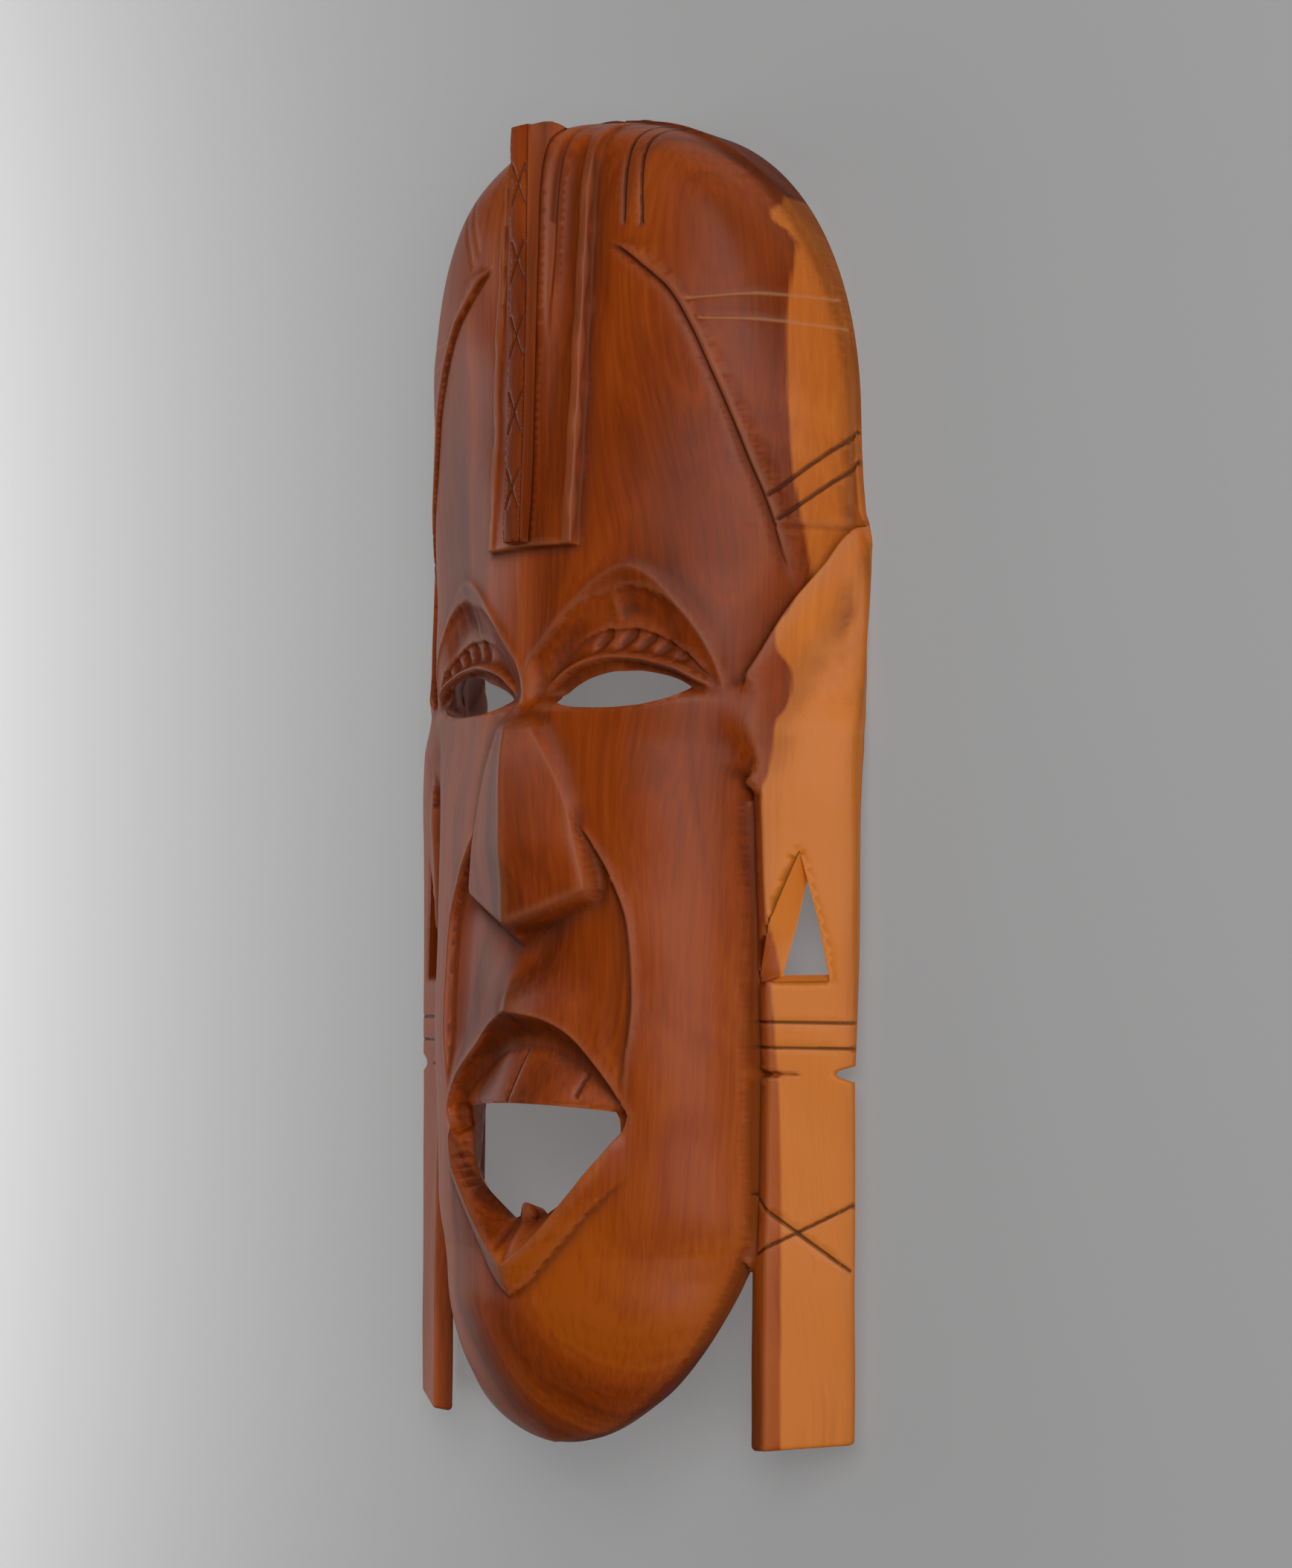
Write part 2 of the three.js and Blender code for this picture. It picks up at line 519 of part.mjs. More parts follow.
// A hole whose edge changes from one outline in front to another, point by point, at the back
function flaredHole([front, back], frontHeight, backHeight) {
  const rings = [
    front.map(([x, y]) => [x, y, BLOCK.ceiling]),
    front.map(([x, y]) => [x, y, frontHeight(Math.abs(x), y)]),
    back.map(([x, y]) => [x, y, Math.max(backHeight(Math.abs(x), y), 0)]),
    back.map(([x, y]) => [x, y, BLOCK.floor]),
  ];
  const count = front.length;
  const triangles = [];
  for (let ring = 0; ring < rings.length - 1; ring += 1) {
    for (let k = 0; k < count; k += 1) {
      const next = (k + 1) % count;
      const [a, b, c, d] = [k, next, count + next, count + k].map((v) => v + ring * count);
      triangles.push(a, c, b, a, d, c);
    }
  }
  const cap = (outline) => THREE.ShapeUtils.triangulateShape(
    outline.map(([x, y]) => new THREE.Vector2(x, y)),
    [],
  );
  for (const [a, b, c] of cap(front)) triangles.push(a, b, c);
  for (const [a, b, c] of cap(back)) triangles.push(...[c, b, a].map((v) => v + 3 * count));
  return solid(rings.flat(2), triangles);
}

// The notch in an ear's outer edge
function outerNotch() {
  const bottomX = EAR.outerX - NOTCH.outerDepth;
  const openX = EAR.outerX + 2;
  return [[openX, NOTCH.y + NOTCH.half], [bottomX, NOTCH.y + 1], [bottomX, NOTCH.y - 1],
    [openX, NOTCH.y - NOTCH.half]];
}

// A bar with one section all along Y, given as a list of [x, z]
function barAlongY(section, fromY, toY) {
  const shape = new THREE.Shape(section.map(([x, z]) => new THREE.Vector2(x, z)));
  const geometry = new THREE.ExtrudeGeometry(shape, { depth: toY - fromY, bevelEnabled: false });
  return solidOf(geometry.rotateX(Math.PI / 2).translate(0, toY, 0));
}

// The wedge of wood cut away under an ear's outer edge, square to the sloping board
function earWedge(side) {
  const { width, top, slope, upToY } = EAR_UNDERCUT;
  const at = (x) => [side * x, top + slope * (x - EAR.outerX)];
  const section = [at(EAR.outerX + 2), [side * (EAR.outerX + 2), BLOCK.floor],
    [side * (EAR.outerX - width), BLOCK.floor], at(EAR.outerX - width)];
  return barAlongY(side > 0 ? section.reverse() : section, EAR.bottomInnerY - 5, upToY);
}

// The standing comb, as its side outline run across the width
function combSolid() {
  const side = [[COMB.bottomY, COMB.foot], [COMB.topY + 2, COMB.foot], [COMB.peakY, COMB.peakZ],
    ...[...COMB_FRONT].reverse()];
  const shape = new THREE.Shape(side.map(([y, z]) => new THREE.Vector2(y, z)));
  const geometry = new THREE.ExtrudeGeometry(shape, { depth: 2 * COMB.halfWidth, bevelEnabled: false });
  geometry.translate(0, 0, -COMB.halfWidth);
  const turn = new THREE.Matrix4().makeBasis(
    new THREE.Vector3(0, 1, 0),
    new THREE.Vector3(0, 0, 1),
    new THREE.Vector3(1, 0, 0),
  );
  return solidOf(geometry.applyMatrix4(turn));
}

const raised = (region, height, mesh = MESH.carved) =>
  heightBlock(region, height, mesh).intersect(prism(region));

const hollowed = (region, height, mesh = MESH.carved) =>
  prism(region).subtract(heightBlock(region, height, mesh, 2 * BLOCK.floor));

const undercut = (region, height) =>
  heightBlock(region, height, MESH.back, 2 * BLOCK.floor).intersect(prism(region));

function carvedMask() {
  const jawRegion = bothSides([[JAW.footX, JAW.footY], [JAW.footX, EAR.bottomInnerY - 10]]).reverse();
  const footOnly = (x, y) => footHeight(y) + SKIN;
  const middle = (x) => MOUTH.topY - MOUTH.cornerDrop * (x / MOUTH.cornerX) ** 2 - 1;
  const lipRegion = band(lipArch, middle, MOUTH.cornerX);
  const above = (x) => middle(x) + 2;
  const lowerRegion = band(above, lowerLip, MOUTH.cornerX - 0.5);
  const bevelRegion = band(above, lipRim, MOUTH.cornerX - 0.3);
  const peakRegion = band(() => MUZZLE.peakTopY, lipArch, MUZZLE.peakReach);
  let mask = raised(headOutline(), headHeight, MESH.plain);
  mask = mask.add(raised(crestOutline(), crestHeight, MESH.plain)).add(combSolid());
  mask = mask.subtract(hollowed(muzzleOutline(), muzzleHeight)).add(raised(peakRegion, muzzleHeight));
  mask = mask.add(raised(lowerRegion, lowerLipHeight));
  mask = mask.subtract(hollowed(lipRegion, lipHeight)).subtract(hollowed(bevelRegion, lipBevelHeight));
  mask = mask.add(raised(noseOutline(), noseFront)).add(raised(noseUnderOutline(), noseUnder));
  for (const [side, sign] of [[(region) => region, 1], [mirrored, -1]]) {
    mask = mask.add(raised(side(hairOutline()), hairHeight, MESH.plain));
    mask = mask.subtract(hollowed(side(creaseOutline()), creaseHeight, MESH.plain));
    mask = mask.add(raised(side(earOutline()), earHeight, MESH.plain));
    mask = mask.subtract(hollowed(side(notchOutline()), notchHeight, MESH.plain));
    mask = mask.subtract(hollowed(side(socketOutline()), socketHeight));
    mask = mask.subtract(undercut(side(earBackOutline()), earBackHeight)).subtract(earWedge(sign));
    mask = mask.subtract(prism(side(outerNotch())));
    mask = mask.subtract(flaredHole([SLOT_FRONT, SLOT_BACK].map(side), earHeight, earBackHeight));
    const eye = eyeEdges(sign < 0 ? EYE.lift : 0).map(side);
    mask = mask.subtract(flaredHole(eye, socketHeight, hollowHeight));
  }
  mask = mask.subtract(undercut(hollowOutline(), hollowHeight)).subtract(undercut(jawRegion, footOnly));
  return mask.subtract(flaredHole(mouthEdges(), lipBevelHeight, hollowHeight));
}

// Cuts that nearly meet leave loose slivers, which part from the wood once equal points are one
function cleaned(body) {
  const bodies = solidOf(geometryOf(body)).decompose();
  return bodies.sort((a, b) => b.volume() - a.volume())[0];
}

function geometryOf(body) {
  const mesh = body.getMesh();
  const geometry = new THREE.BufferGeometry();
  geometry.setAttribute('position', new THREE.BufferAttribute(new Float32Array(mesh.vertProperties), 3));
  geometry.setIndex(new THREE.BufferAttribute(new Uint32Array(mesh.triVerts), 1));
  geometry.computeVertexNormals();
  return geometry;
}

const polishedWood = new THREE.MeshStandardMaterial({ color: 0x8a4318, roughness: 0.45, metalness: 0 });
const mask = new THREE.Mesh(geometryOf(cleaned(carvedMask())), polishedWood);
mask.name = 'mask';
mask.position.y = -(CROWN.centreY + CROWN.rise + JAW.centreY - JAW.drop) / 2;

const group = new THREE.Group();
group.add(mask);

export default group;
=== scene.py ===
"""A long carved wooden mask, lying on its back on a pale floor under soft light.

The mask is one piece of wood. Its face is carved as a height over the plan, in millimetres: x runs to the
viewer's right, y from chin to crown and z out of the face. The mesh is made from that height, from the
outline with its openings, and from the hollowed back, and is turned into metres at the end.
"""

import logging
import math
from dataclasses import dataclass, field
from enum import Enum
from typing import Iterable, Sequence

import bpy
import numpy as np
from mathutils import Matrix, Vector
from mathutils.geometry import delaunay_2d_cdt
from mathutils.kdtree import KDTree


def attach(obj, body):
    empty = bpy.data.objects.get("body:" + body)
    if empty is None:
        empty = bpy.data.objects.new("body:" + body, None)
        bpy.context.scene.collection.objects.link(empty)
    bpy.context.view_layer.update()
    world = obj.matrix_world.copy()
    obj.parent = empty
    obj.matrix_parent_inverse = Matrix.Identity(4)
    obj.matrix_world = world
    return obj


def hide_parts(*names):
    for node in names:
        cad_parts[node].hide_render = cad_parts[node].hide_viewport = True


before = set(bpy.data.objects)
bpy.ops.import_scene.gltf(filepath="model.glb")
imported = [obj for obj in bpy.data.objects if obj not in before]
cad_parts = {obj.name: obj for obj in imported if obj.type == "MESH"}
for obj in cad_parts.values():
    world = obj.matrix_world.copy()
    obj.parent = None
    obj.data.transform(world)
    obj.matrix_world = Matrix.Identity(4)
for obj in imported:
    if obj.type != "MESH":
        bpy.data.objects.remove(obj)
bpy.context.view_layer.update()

LOG = logging.getLogger("mask")
MILLIMETRE = 0.001
PHOTO_HEIGHT = 2107


class Side(Enum):
    """The two sides of the face, by the sign of x."""

    LEFT = -1.0
    RIGHT = 1.0


def smooth(low: float, high: float, value: np.ndarray) -> np.ndarray:
    """Ease from 0 at one value to 1 at another.

    Args:
        low: Value where the result is 0.
        high: Value where the result is 1; it may be the smaller one.
        value: Values to ease.

    Returns:
        Numbers from 0 to 1.
    """
    t = np.clip((value - low) / (high - low), 0.0, 1.0)
    return t * t * (3.0 - 2.0 * t)


def mixed(a: np.ndarray, b: np.ndarray, weight: np.ndarray) -> np.ndarray:
    """Go from a to b as the weight goes from 0 to 1."""
    return a + (b - a) * weight


def soft_max(a: np.ndarray, b: np.ndarray, fillet: float) -> np.ndarray:
    """Give the larger of two heights, with a small fillet where they cross."""
    return 0.5 * (a + b + np.sqrt((a - b) ** 2 + fillet**2)) - 0.15 * fillet


@dataclass(frozen=True)
class Profile:
    """A smooth curve through stations that never overshoots them."""

    stations: tuple[tuple[float, float], ...]

    def __call__(self, at: np.ndarray | float) -> np.ndarray:
        """Read the curve.

        Args:
            at: Places along the curve; beyond its ends the end value holds.

        Returns:
            The value at each place.
        """
        place, value = np.array(self.stations, float).T
        width = np.diff(place)
        rise = np.diff(value) / width
        product = rise[:-1] * rise[1:]
        total = np.where(product > 0, rise[:-1] + rise[1:], 1.0)
        middle = np.where(product > 0, 2.0 * product / total, 0.0)
        slope = np.concatenate([rise[:1], middle, rise[-1:]])
        p = np.clip(np.asarray(at, float), place[0], place[-1])
        i = np.clip(np.searchsorted(place, p, side="right") - 1, 0, len(width) - 1)
        t = (p - place[i]) / width[i]
        t2 = t * t
        t3 = t2 * t
        start = value[i] * (2 * t3 - 3 * t2 + 1) + width[i] * slope[i] * (t3 - 2 * t2 + t)
        return start + value[i + 1] * (3 * t2 - 2 * t3) + width[i] * slope[i + 1] * (t3 - t2)

    def inside(self, across: np.ndarray, along: np.ndarray) -> np.ndarray:
        """Measure how far points lie below the curve.

        Args:
            across: The coordinate that the curve gives.
            along: The coordinate that the curve is read at.

        Returns:
            About the distance to the curve, positive where across is less than the curve.
        """
        step = 0.5
        slope = (self(along + step) - self(along - step)) / (2 * step)
        return (self(along) - across) / np.sqrt(1.0 + slope**2)

    def points(self, low: float, high: float, spacing: float, upright: bool) -> np.ndarray:
        """Walk along the curve in even steps.

        Args:
            low: First place.
            high: Last place.
            spacing: Distance between points.
            upright: True where the curve is read along y, False where along x.

        Returns:
            Points as rows of x and y.
        """
        along = np.linspace(low, high, 200)
        pair = (self(along), along) if upright else (along, self(along))
        return resampled(np.stack(pair, axis=1), spacing)


def resampled(path: np.ndarray, spacing: float, closed: bool = False) -> np.ndarray:
    """Place points evenly along a path of straight runs.

    Args:
        path: Corners as rows of x and y.
        spacing: Wanted distance between points.
        closed: True where the path returns to its start.

    Returns:
        Evenly spaced points; a closed path's first point isn't repeated.
    """
    full = np.vstack([path, path[:1]]) if closed else path
    reach = np.concatenate([[0.0], np.cumsum(np.hypot(*np.diff(full, axis=0).T))])
    count = max(int(round(reach[-1] / spacing)), 1)
    at = np.linspace(0.0, reach[-1], count + 1)
    if closed:
        at = at[:-1]
    return np.stack([np.interp(at, reach, full[:, 0]), np.interp(at, reach, full[:, 1])], axis=1)


def ring(corners: Sequence[Sequence[float]], spacing: float) -> np.ndarray:
    """Walk round a closed outline and keep every corner.

    Args:
        corners: The outline's corners, in order.
        spacing: Wanted distance between points.

    Returns:
        Points round the outline.
    """
    path = np.array(corners, float)
    runs = [resampled(np.array([a, b]), spacing)[:-1] for a, b in zip(path, np.roll(path, -1, axis=0))]
    return np.vstack(runs)


def arc(centre: tuple[float, float], radii: tuple[float, float], start: float, end: float,
        count: int = 60) -> list[tuple[float, float]]:
    """List points on an ellipse.

    Args:
        centre: Its centre.
        radii: Its half-widths along x and y.
        start: First angle in degrees.
        end: Last angle in degrees.
        count: Number of steps.

    Returns:
        Points from the first angle to the last.
    """
    angle = np.radians(np.linspace(start, end, count + 1))
    return list(zip(centre[0] + radii[0] * np.cos(angle), centre[1] + radii[1] * np.sin(angle)))


def mirrored(path: np.ndarray) -> np.ndarray:
    """Give the same path on the other side of the face, walked the same way round."""
    return (path * [-1.0, 1.0])[::-1]


@dataclass
class Guide:
    """A line of the carving that the mesh follows with rows of points."""

    path: np.ndarray
    offsets: tuple[float, ...] = (0.0, -0.5, 0.5, -1.1, 1.1, -2.1, 2.1)
    both_sides: bool = True

    def rows(self) -> Iterable[np.ndarray]:
        """Yield one row of points for each offset, and its mirror image.

        Returns:
            The rows, one after another.
        """
        run = np.gradient(self.path, axis=0)
        normal = np.stack([-run[:, 1], run[:, 0]], axis=1) / np.hypot(*run.T)[:, None]
        for offset in self.offsets:
            row = self.path + offset * normal
            yield row
            if self.both_sides:
                yield row * [-1.0, 1.0]


class Wobble:
    """The slight unevenness that a hand tool leaves, as a sum of long waves."""

    def __init__(self, seed: int, shortest: float, longest: float, count: int = 14) -> None:
        """Draw the waves.

        Args:
            seed: Seed of the draw.
            shortest: Shortest wave, in millimetres.
            longest: Longest wave, in millimetres.
            count: Number of waves.
        """
        draw = np.random.default_rng(seed)
        heading = draw.uniform(0.0, 2 * math.pi, count)
        number = 2 * math.pi / draw.uniform(shortest, longest, count)
        self.kx = number * np.cos(heading)
        self.ky = number * np.sin(heading)
        self.phase = draw.uniform(0.0, 2 * math.pi, count)

    def __call__(self, x: np.ndarray, y: np.ndarray) -> np.ndarray:
        """Read the waves at points; the result lies mostly between -1 and 1.

        Args:
            x: Places across.
            y: Places along.

        Returns:
            The sum of the waves at each point.
        """
        total = np.zeros_like(x)
        for kx, ky, phase in zip(self.kx, self.ky, self.phase):
            total += np.sin(kx * x + ky * y + phase)
        return total * math.sqrt(2.0 / len(self.kx)) * 0.6


@dataclass(frozen=True)
class Head:
    """The plain rounded head, before any carving."""

    crown_half: float = 105.6
    crown_y: float = 200.0
    crown_rise: float = 127.5
    crown_power: float = 2.17
    origin_y: float = 71.25
    cap_limit: float = 0.988
    rim: float = 3.5
    jaw_half: float = 79.5
    jaw_y: float = -90.0
    jaw_drop: float = 95.0
    jaw_power: float = 1.95
    cap: Profile = Profile(((0, 16), (30, 18), (60, 19), (88, 12)))
    midline: Profile = Profile(((-187, 53.5), (-182, 58), (-173, 65), (-155, 74), (-127, 80), (-95, 80),
                                (-50, 78.5), (0, 76), (60, 73.5), (110, 72.5), (150, 71.5), (213, 65.5),
                                (267, 60.5), (330, 55)))
    half_width: Profile = Profile(((-120, 77), (-92, 79.5), (60, 79.5), (80, 83), (95, 90), (110, 96),
                                   (131, 101), (165, 106), (185, 106.4), (200, 106.4)))
    fullness: Profile = Profile(((-110, 1.5), (-70, 1.75), (-20, 2), (60, 2), (110, 1.85), (150, 1.58),
                                 (190, 1.64), (240, 1.85)))
    edge: Profile = Profile(((-186, 53), (-172, 50.9), (-162, 46.5), (-150, 42.8), (-138, 39), (-110, 30),
                             (-60, 23), (0, 20), (60, 18), (95, 6), (112, 0)))

    def crown(self, start: float, end: float, count: int, inset: float = 0.0) -> list[tuple[float, float]]:
        """List points on the crown's edge, an ellipse with slightly squared shoulders.

        Args:
            start: First angle in degrees.
            end: Last angle in degrees.
            count: Number of steps.
            inset: How far inside the edge the points lie.

        Returns:
            Points from the first angle to the last, between 0 and 90 degrees.
        """
        angle = np.radians(np.linspace(start, end, count + 1))
        power = 2.0 / self.crown_power
        x = (self.crown_half - inset) * np.cos(angle) ** power
        y = self.crown_y + (self.crown_rise - inset) * np.sin(angle) ** power
        return list(zip(x, y))

    def width_at(self, y: np.ndarray) -> np.ndarray:
        """Half-width of the head, drawn in round the chin."""
        drop = np.clip((self.jaw_y - y) / self.jaw_drop, 0.0, 0.9999)
        return self.half_width(y) * (1.0 - drop**self.jaw_power) ** (1.0 / self.jaw_power)

    def jaw(self, start_y: float, count: int) -> list[tuple[float, float]]:
        """List points on the right half of the jaw's edge, from one height down to the chin.

        Args:
            start_y: Where the list starts.
            count: Number of steps.

        Returns:
            Points down to the chin.
        """
        angle = np.linspace(math.asin((self.jaw_y - start_y) / self.jaw_drop), math.pi / 2, count + 1)
        y = self.jaw_y - self.jaw_drop * np.sin(angle)
        x = self.width_at(y)
        x[-1] = 0.0
        return list(zip(x, y))

    def height(self, ax: np.ndarray, y: np.ndarray) -> np.ndarray:
        """Give the height of the rounded head.

        Args:
            ax: Distance from the middle line.
            y: Place along the face.

        Returns:
            Heights above the back of the rim; past its own edge the head runs on level.
        """
        edge = self.edge(y)
        n = self.fullness(y)
        across = np.clip(ax / self.width_at(y), 0.0, 0.995)
        bulge = (1.0 - across**n) ** (1.0 / n)
        side = (ax / self.crown_half) ** self.crown_power
        top = (np.maximum(y - self.crown_y, 0.0) / self.crown_rise) ** self.crown_power
        reach = (side + top) ** (1.0 / self.crown_power)
        cap = np.sqrt(1.0 - np.clip(reach, 0.0, self.cap_limit) ** self.cap(ax))
        return np.maximum((edge + (self.midline(y) - edge) * bulge) * cap, self.rim)


HEAD = Head()


@dataclass(frozen=True)
class Crest:
    """The raised panel on the brow, with a rail along each long edge and sharp grooves between."""

    half_width: float = 22.5
    lean: float = 3.2
    bottom_y: float = 156.5
    rise: float = 3.1
    rail_width: float = 4.0
    rail_rise: float = 0.55
    edge: float = 0.55
    groove_depth: float = 2.6
    gable: Profile = Profile(((160, 0.6), (180, 0.9), (210, 2.2), (240, 4.2), (270, 5.6), (293, 6.6),
                              (320, 6.6)))
    gable_half: float = 17.5
    ridge_half: float = 4.0
    dish: float = 0.7
    groove_half: float = 1.5
    grooves: tuple[tuple[float, float, float, float], ...] = (
        (9.6, 320.0, 8.6, 233.0), (-8.4, 320.0, -7.4, 250.0), (-20.8, 312.0, -17.4, 236.0))

    def shape(self, z: np.ndarray, ax: np.ndarray, y: np.ndarray, x: np.ndarray) -> np.ndarray:
        """Raise the panel and its rails, and cut the grooves.

        Args:
            z: Heights so far.
            ax: Distances from the middle line.
            y: Places along.
            x: Places across.

        Returns:
            The new heights.
        """
        side = self.half_width - self.lean * (x < 0) * smooth(250, 170, y) + 0.25 * np.sin(y * 0.21)
        over = smooth(-self.edge, self.edge, side - ax)
        over = over * smooth(-self.edge, self.edge, y - self.bottom_y)
        rail = smooth(-0.9, 0.7, ax - (side - self.rail_width)) * over
        between = side - self.rail_width - self.ridge_half
        hollow = np.sin(np.pi * np.clip((ax - self.ridge_half) / between, 0, 1))
        top = smooth(HEAD.crown_y + HEAD.crown_rise - 3.0, HEAD.crown_y + HEAD.crown_rise - 14.0, y)
        ground = self.rise + self.gable(y) * smooth(self.gable_half, self.ridge_half, ax)
        ground = ground - self.dish * hollow * smooth(155, 200, y)
        z = z + over * (ground * mixed(0.55, 1.0, top) + self.rail_rise * rail)
        for x0, y0, x1, y1 in self.grooves:
            t = np.clip((y - y0) / (y1 - y0), 0.0, 1.0)
            width = self.groove_half * (1.0 - 0.45 * t)
            depth = self.groove_depth * (1.0 - smooth(0.55, 1.0, t))
            gap = np.abs(x - mixed(x0, x1, t))
            z = z - depth * np.clip(1.0 - gap / width, 0.0, 1.0) * over
        return z

    def guides(self) -> list[Guide]:
        """Lines of the panel's sides, bottom, rails and grooves.

        Returns:
            The guides.
        """
        top = HEAD.crown_y + HEAD.crown_rise - 4.0
        side = resampled(np.array([[self.half_width, self.bottom_y], [self.half_width, top]]), 1.25)
        left = side * [-1.0, 1.0] + np.outer(self.lean * smooth(250, 170, side[:, 1]), [1.0, 0.0])
        low = resampled(np.array([[self.lean - self.half_width, self.bottom_y],
                                  [self.half_width, self.bottom_y]]), 1.1)
        found = [Guide(low, (0.0, -0.5, 0.5, -1.2, 1.2), both_sides=False)]
        for edge, inward in ((side, -1.0), (left, 1.0)):
            rail = edge + [inward * self.rail_width, 0.0]
            found.append(Guide(edge, (0.0, -0.5, 0.5, -1.2, 1.2), both_sides=False))
            found.append(Guide(rail, (0.0, -0.6, 0.6, 1.4), both_sides=False))
        for x0, y0, x1, y1 in self.grooves:
            line = resampled(np.array([[x0, y0], [x1, y1]]), 1.3)
            found.append(Guide(line, (0.0, -0.7, 0.7, -1.4, 1.4), both_sides=False))
        return found


@dataclass(frozen=True)
class Hair:
    """The hair stands over the forehead in a low step with a groove under it, and fades outwards."""

    low_y: float = 137.0
    high_y: float = 271.0
    step: float = 0.9
    bead: float = 1.1
    bead_half: float = 1.8
    fade: float = 13.0
    groove: float = 1.0
    line: Profile = Profile(((137, 90.2), (151, 88.7), (164, 87), (174, 84.6), (187, 80.5), (205, 75),
                             (221, 69.5), (236, 63.5), (250, 55.5), (261, 44), (270, 33), (272, 30)))

    def shape(self, z: np.ndarray, ax: np.ndarray, y: np.ndarray, x: np.ndarray) -> np.ndarray:
        """Raise the hair's edge and cut the groove beside it.

        Args:
            z: Heights so far.
            ax: Distances from the middle line.
            y: Places along.
            x: Places across; not used.

        Returns:
            The new heights.
        """
        past = -self.line.inside(ax, y)
        ends = smooth(self.low_y, self.low_y + 24, y) * (1.0 - smooth(self.high_y - 4, self.high_y, y))
        fade = np.clip(1.0 - past / self.fade, 0.0, 1.0) ** 1.5
        ridge = self.step * smooth(-0.6, 0.5, past) * fade
        bead = self.bead * np.sqrt(np.clip(1.0 - ((past - self.bead_half) / self.bead_half) ** 2, 0.0, 1.0))
        groove = self.groove * np.exp(-(((past + 1.0) / 1.0) ** 2))
        return z + (ridge + bead - groove) * ends

    def guides(self) -> list[Guide]:
        """The hair line."""
        line = self.line.points(self.low_y, self.high_y, 1.2, upright=True)
        return [Guide(line, (0.0, -0.5, 0.5, -1.2, 1.2, -2.2, 2.3, -3.2, 3.4))]


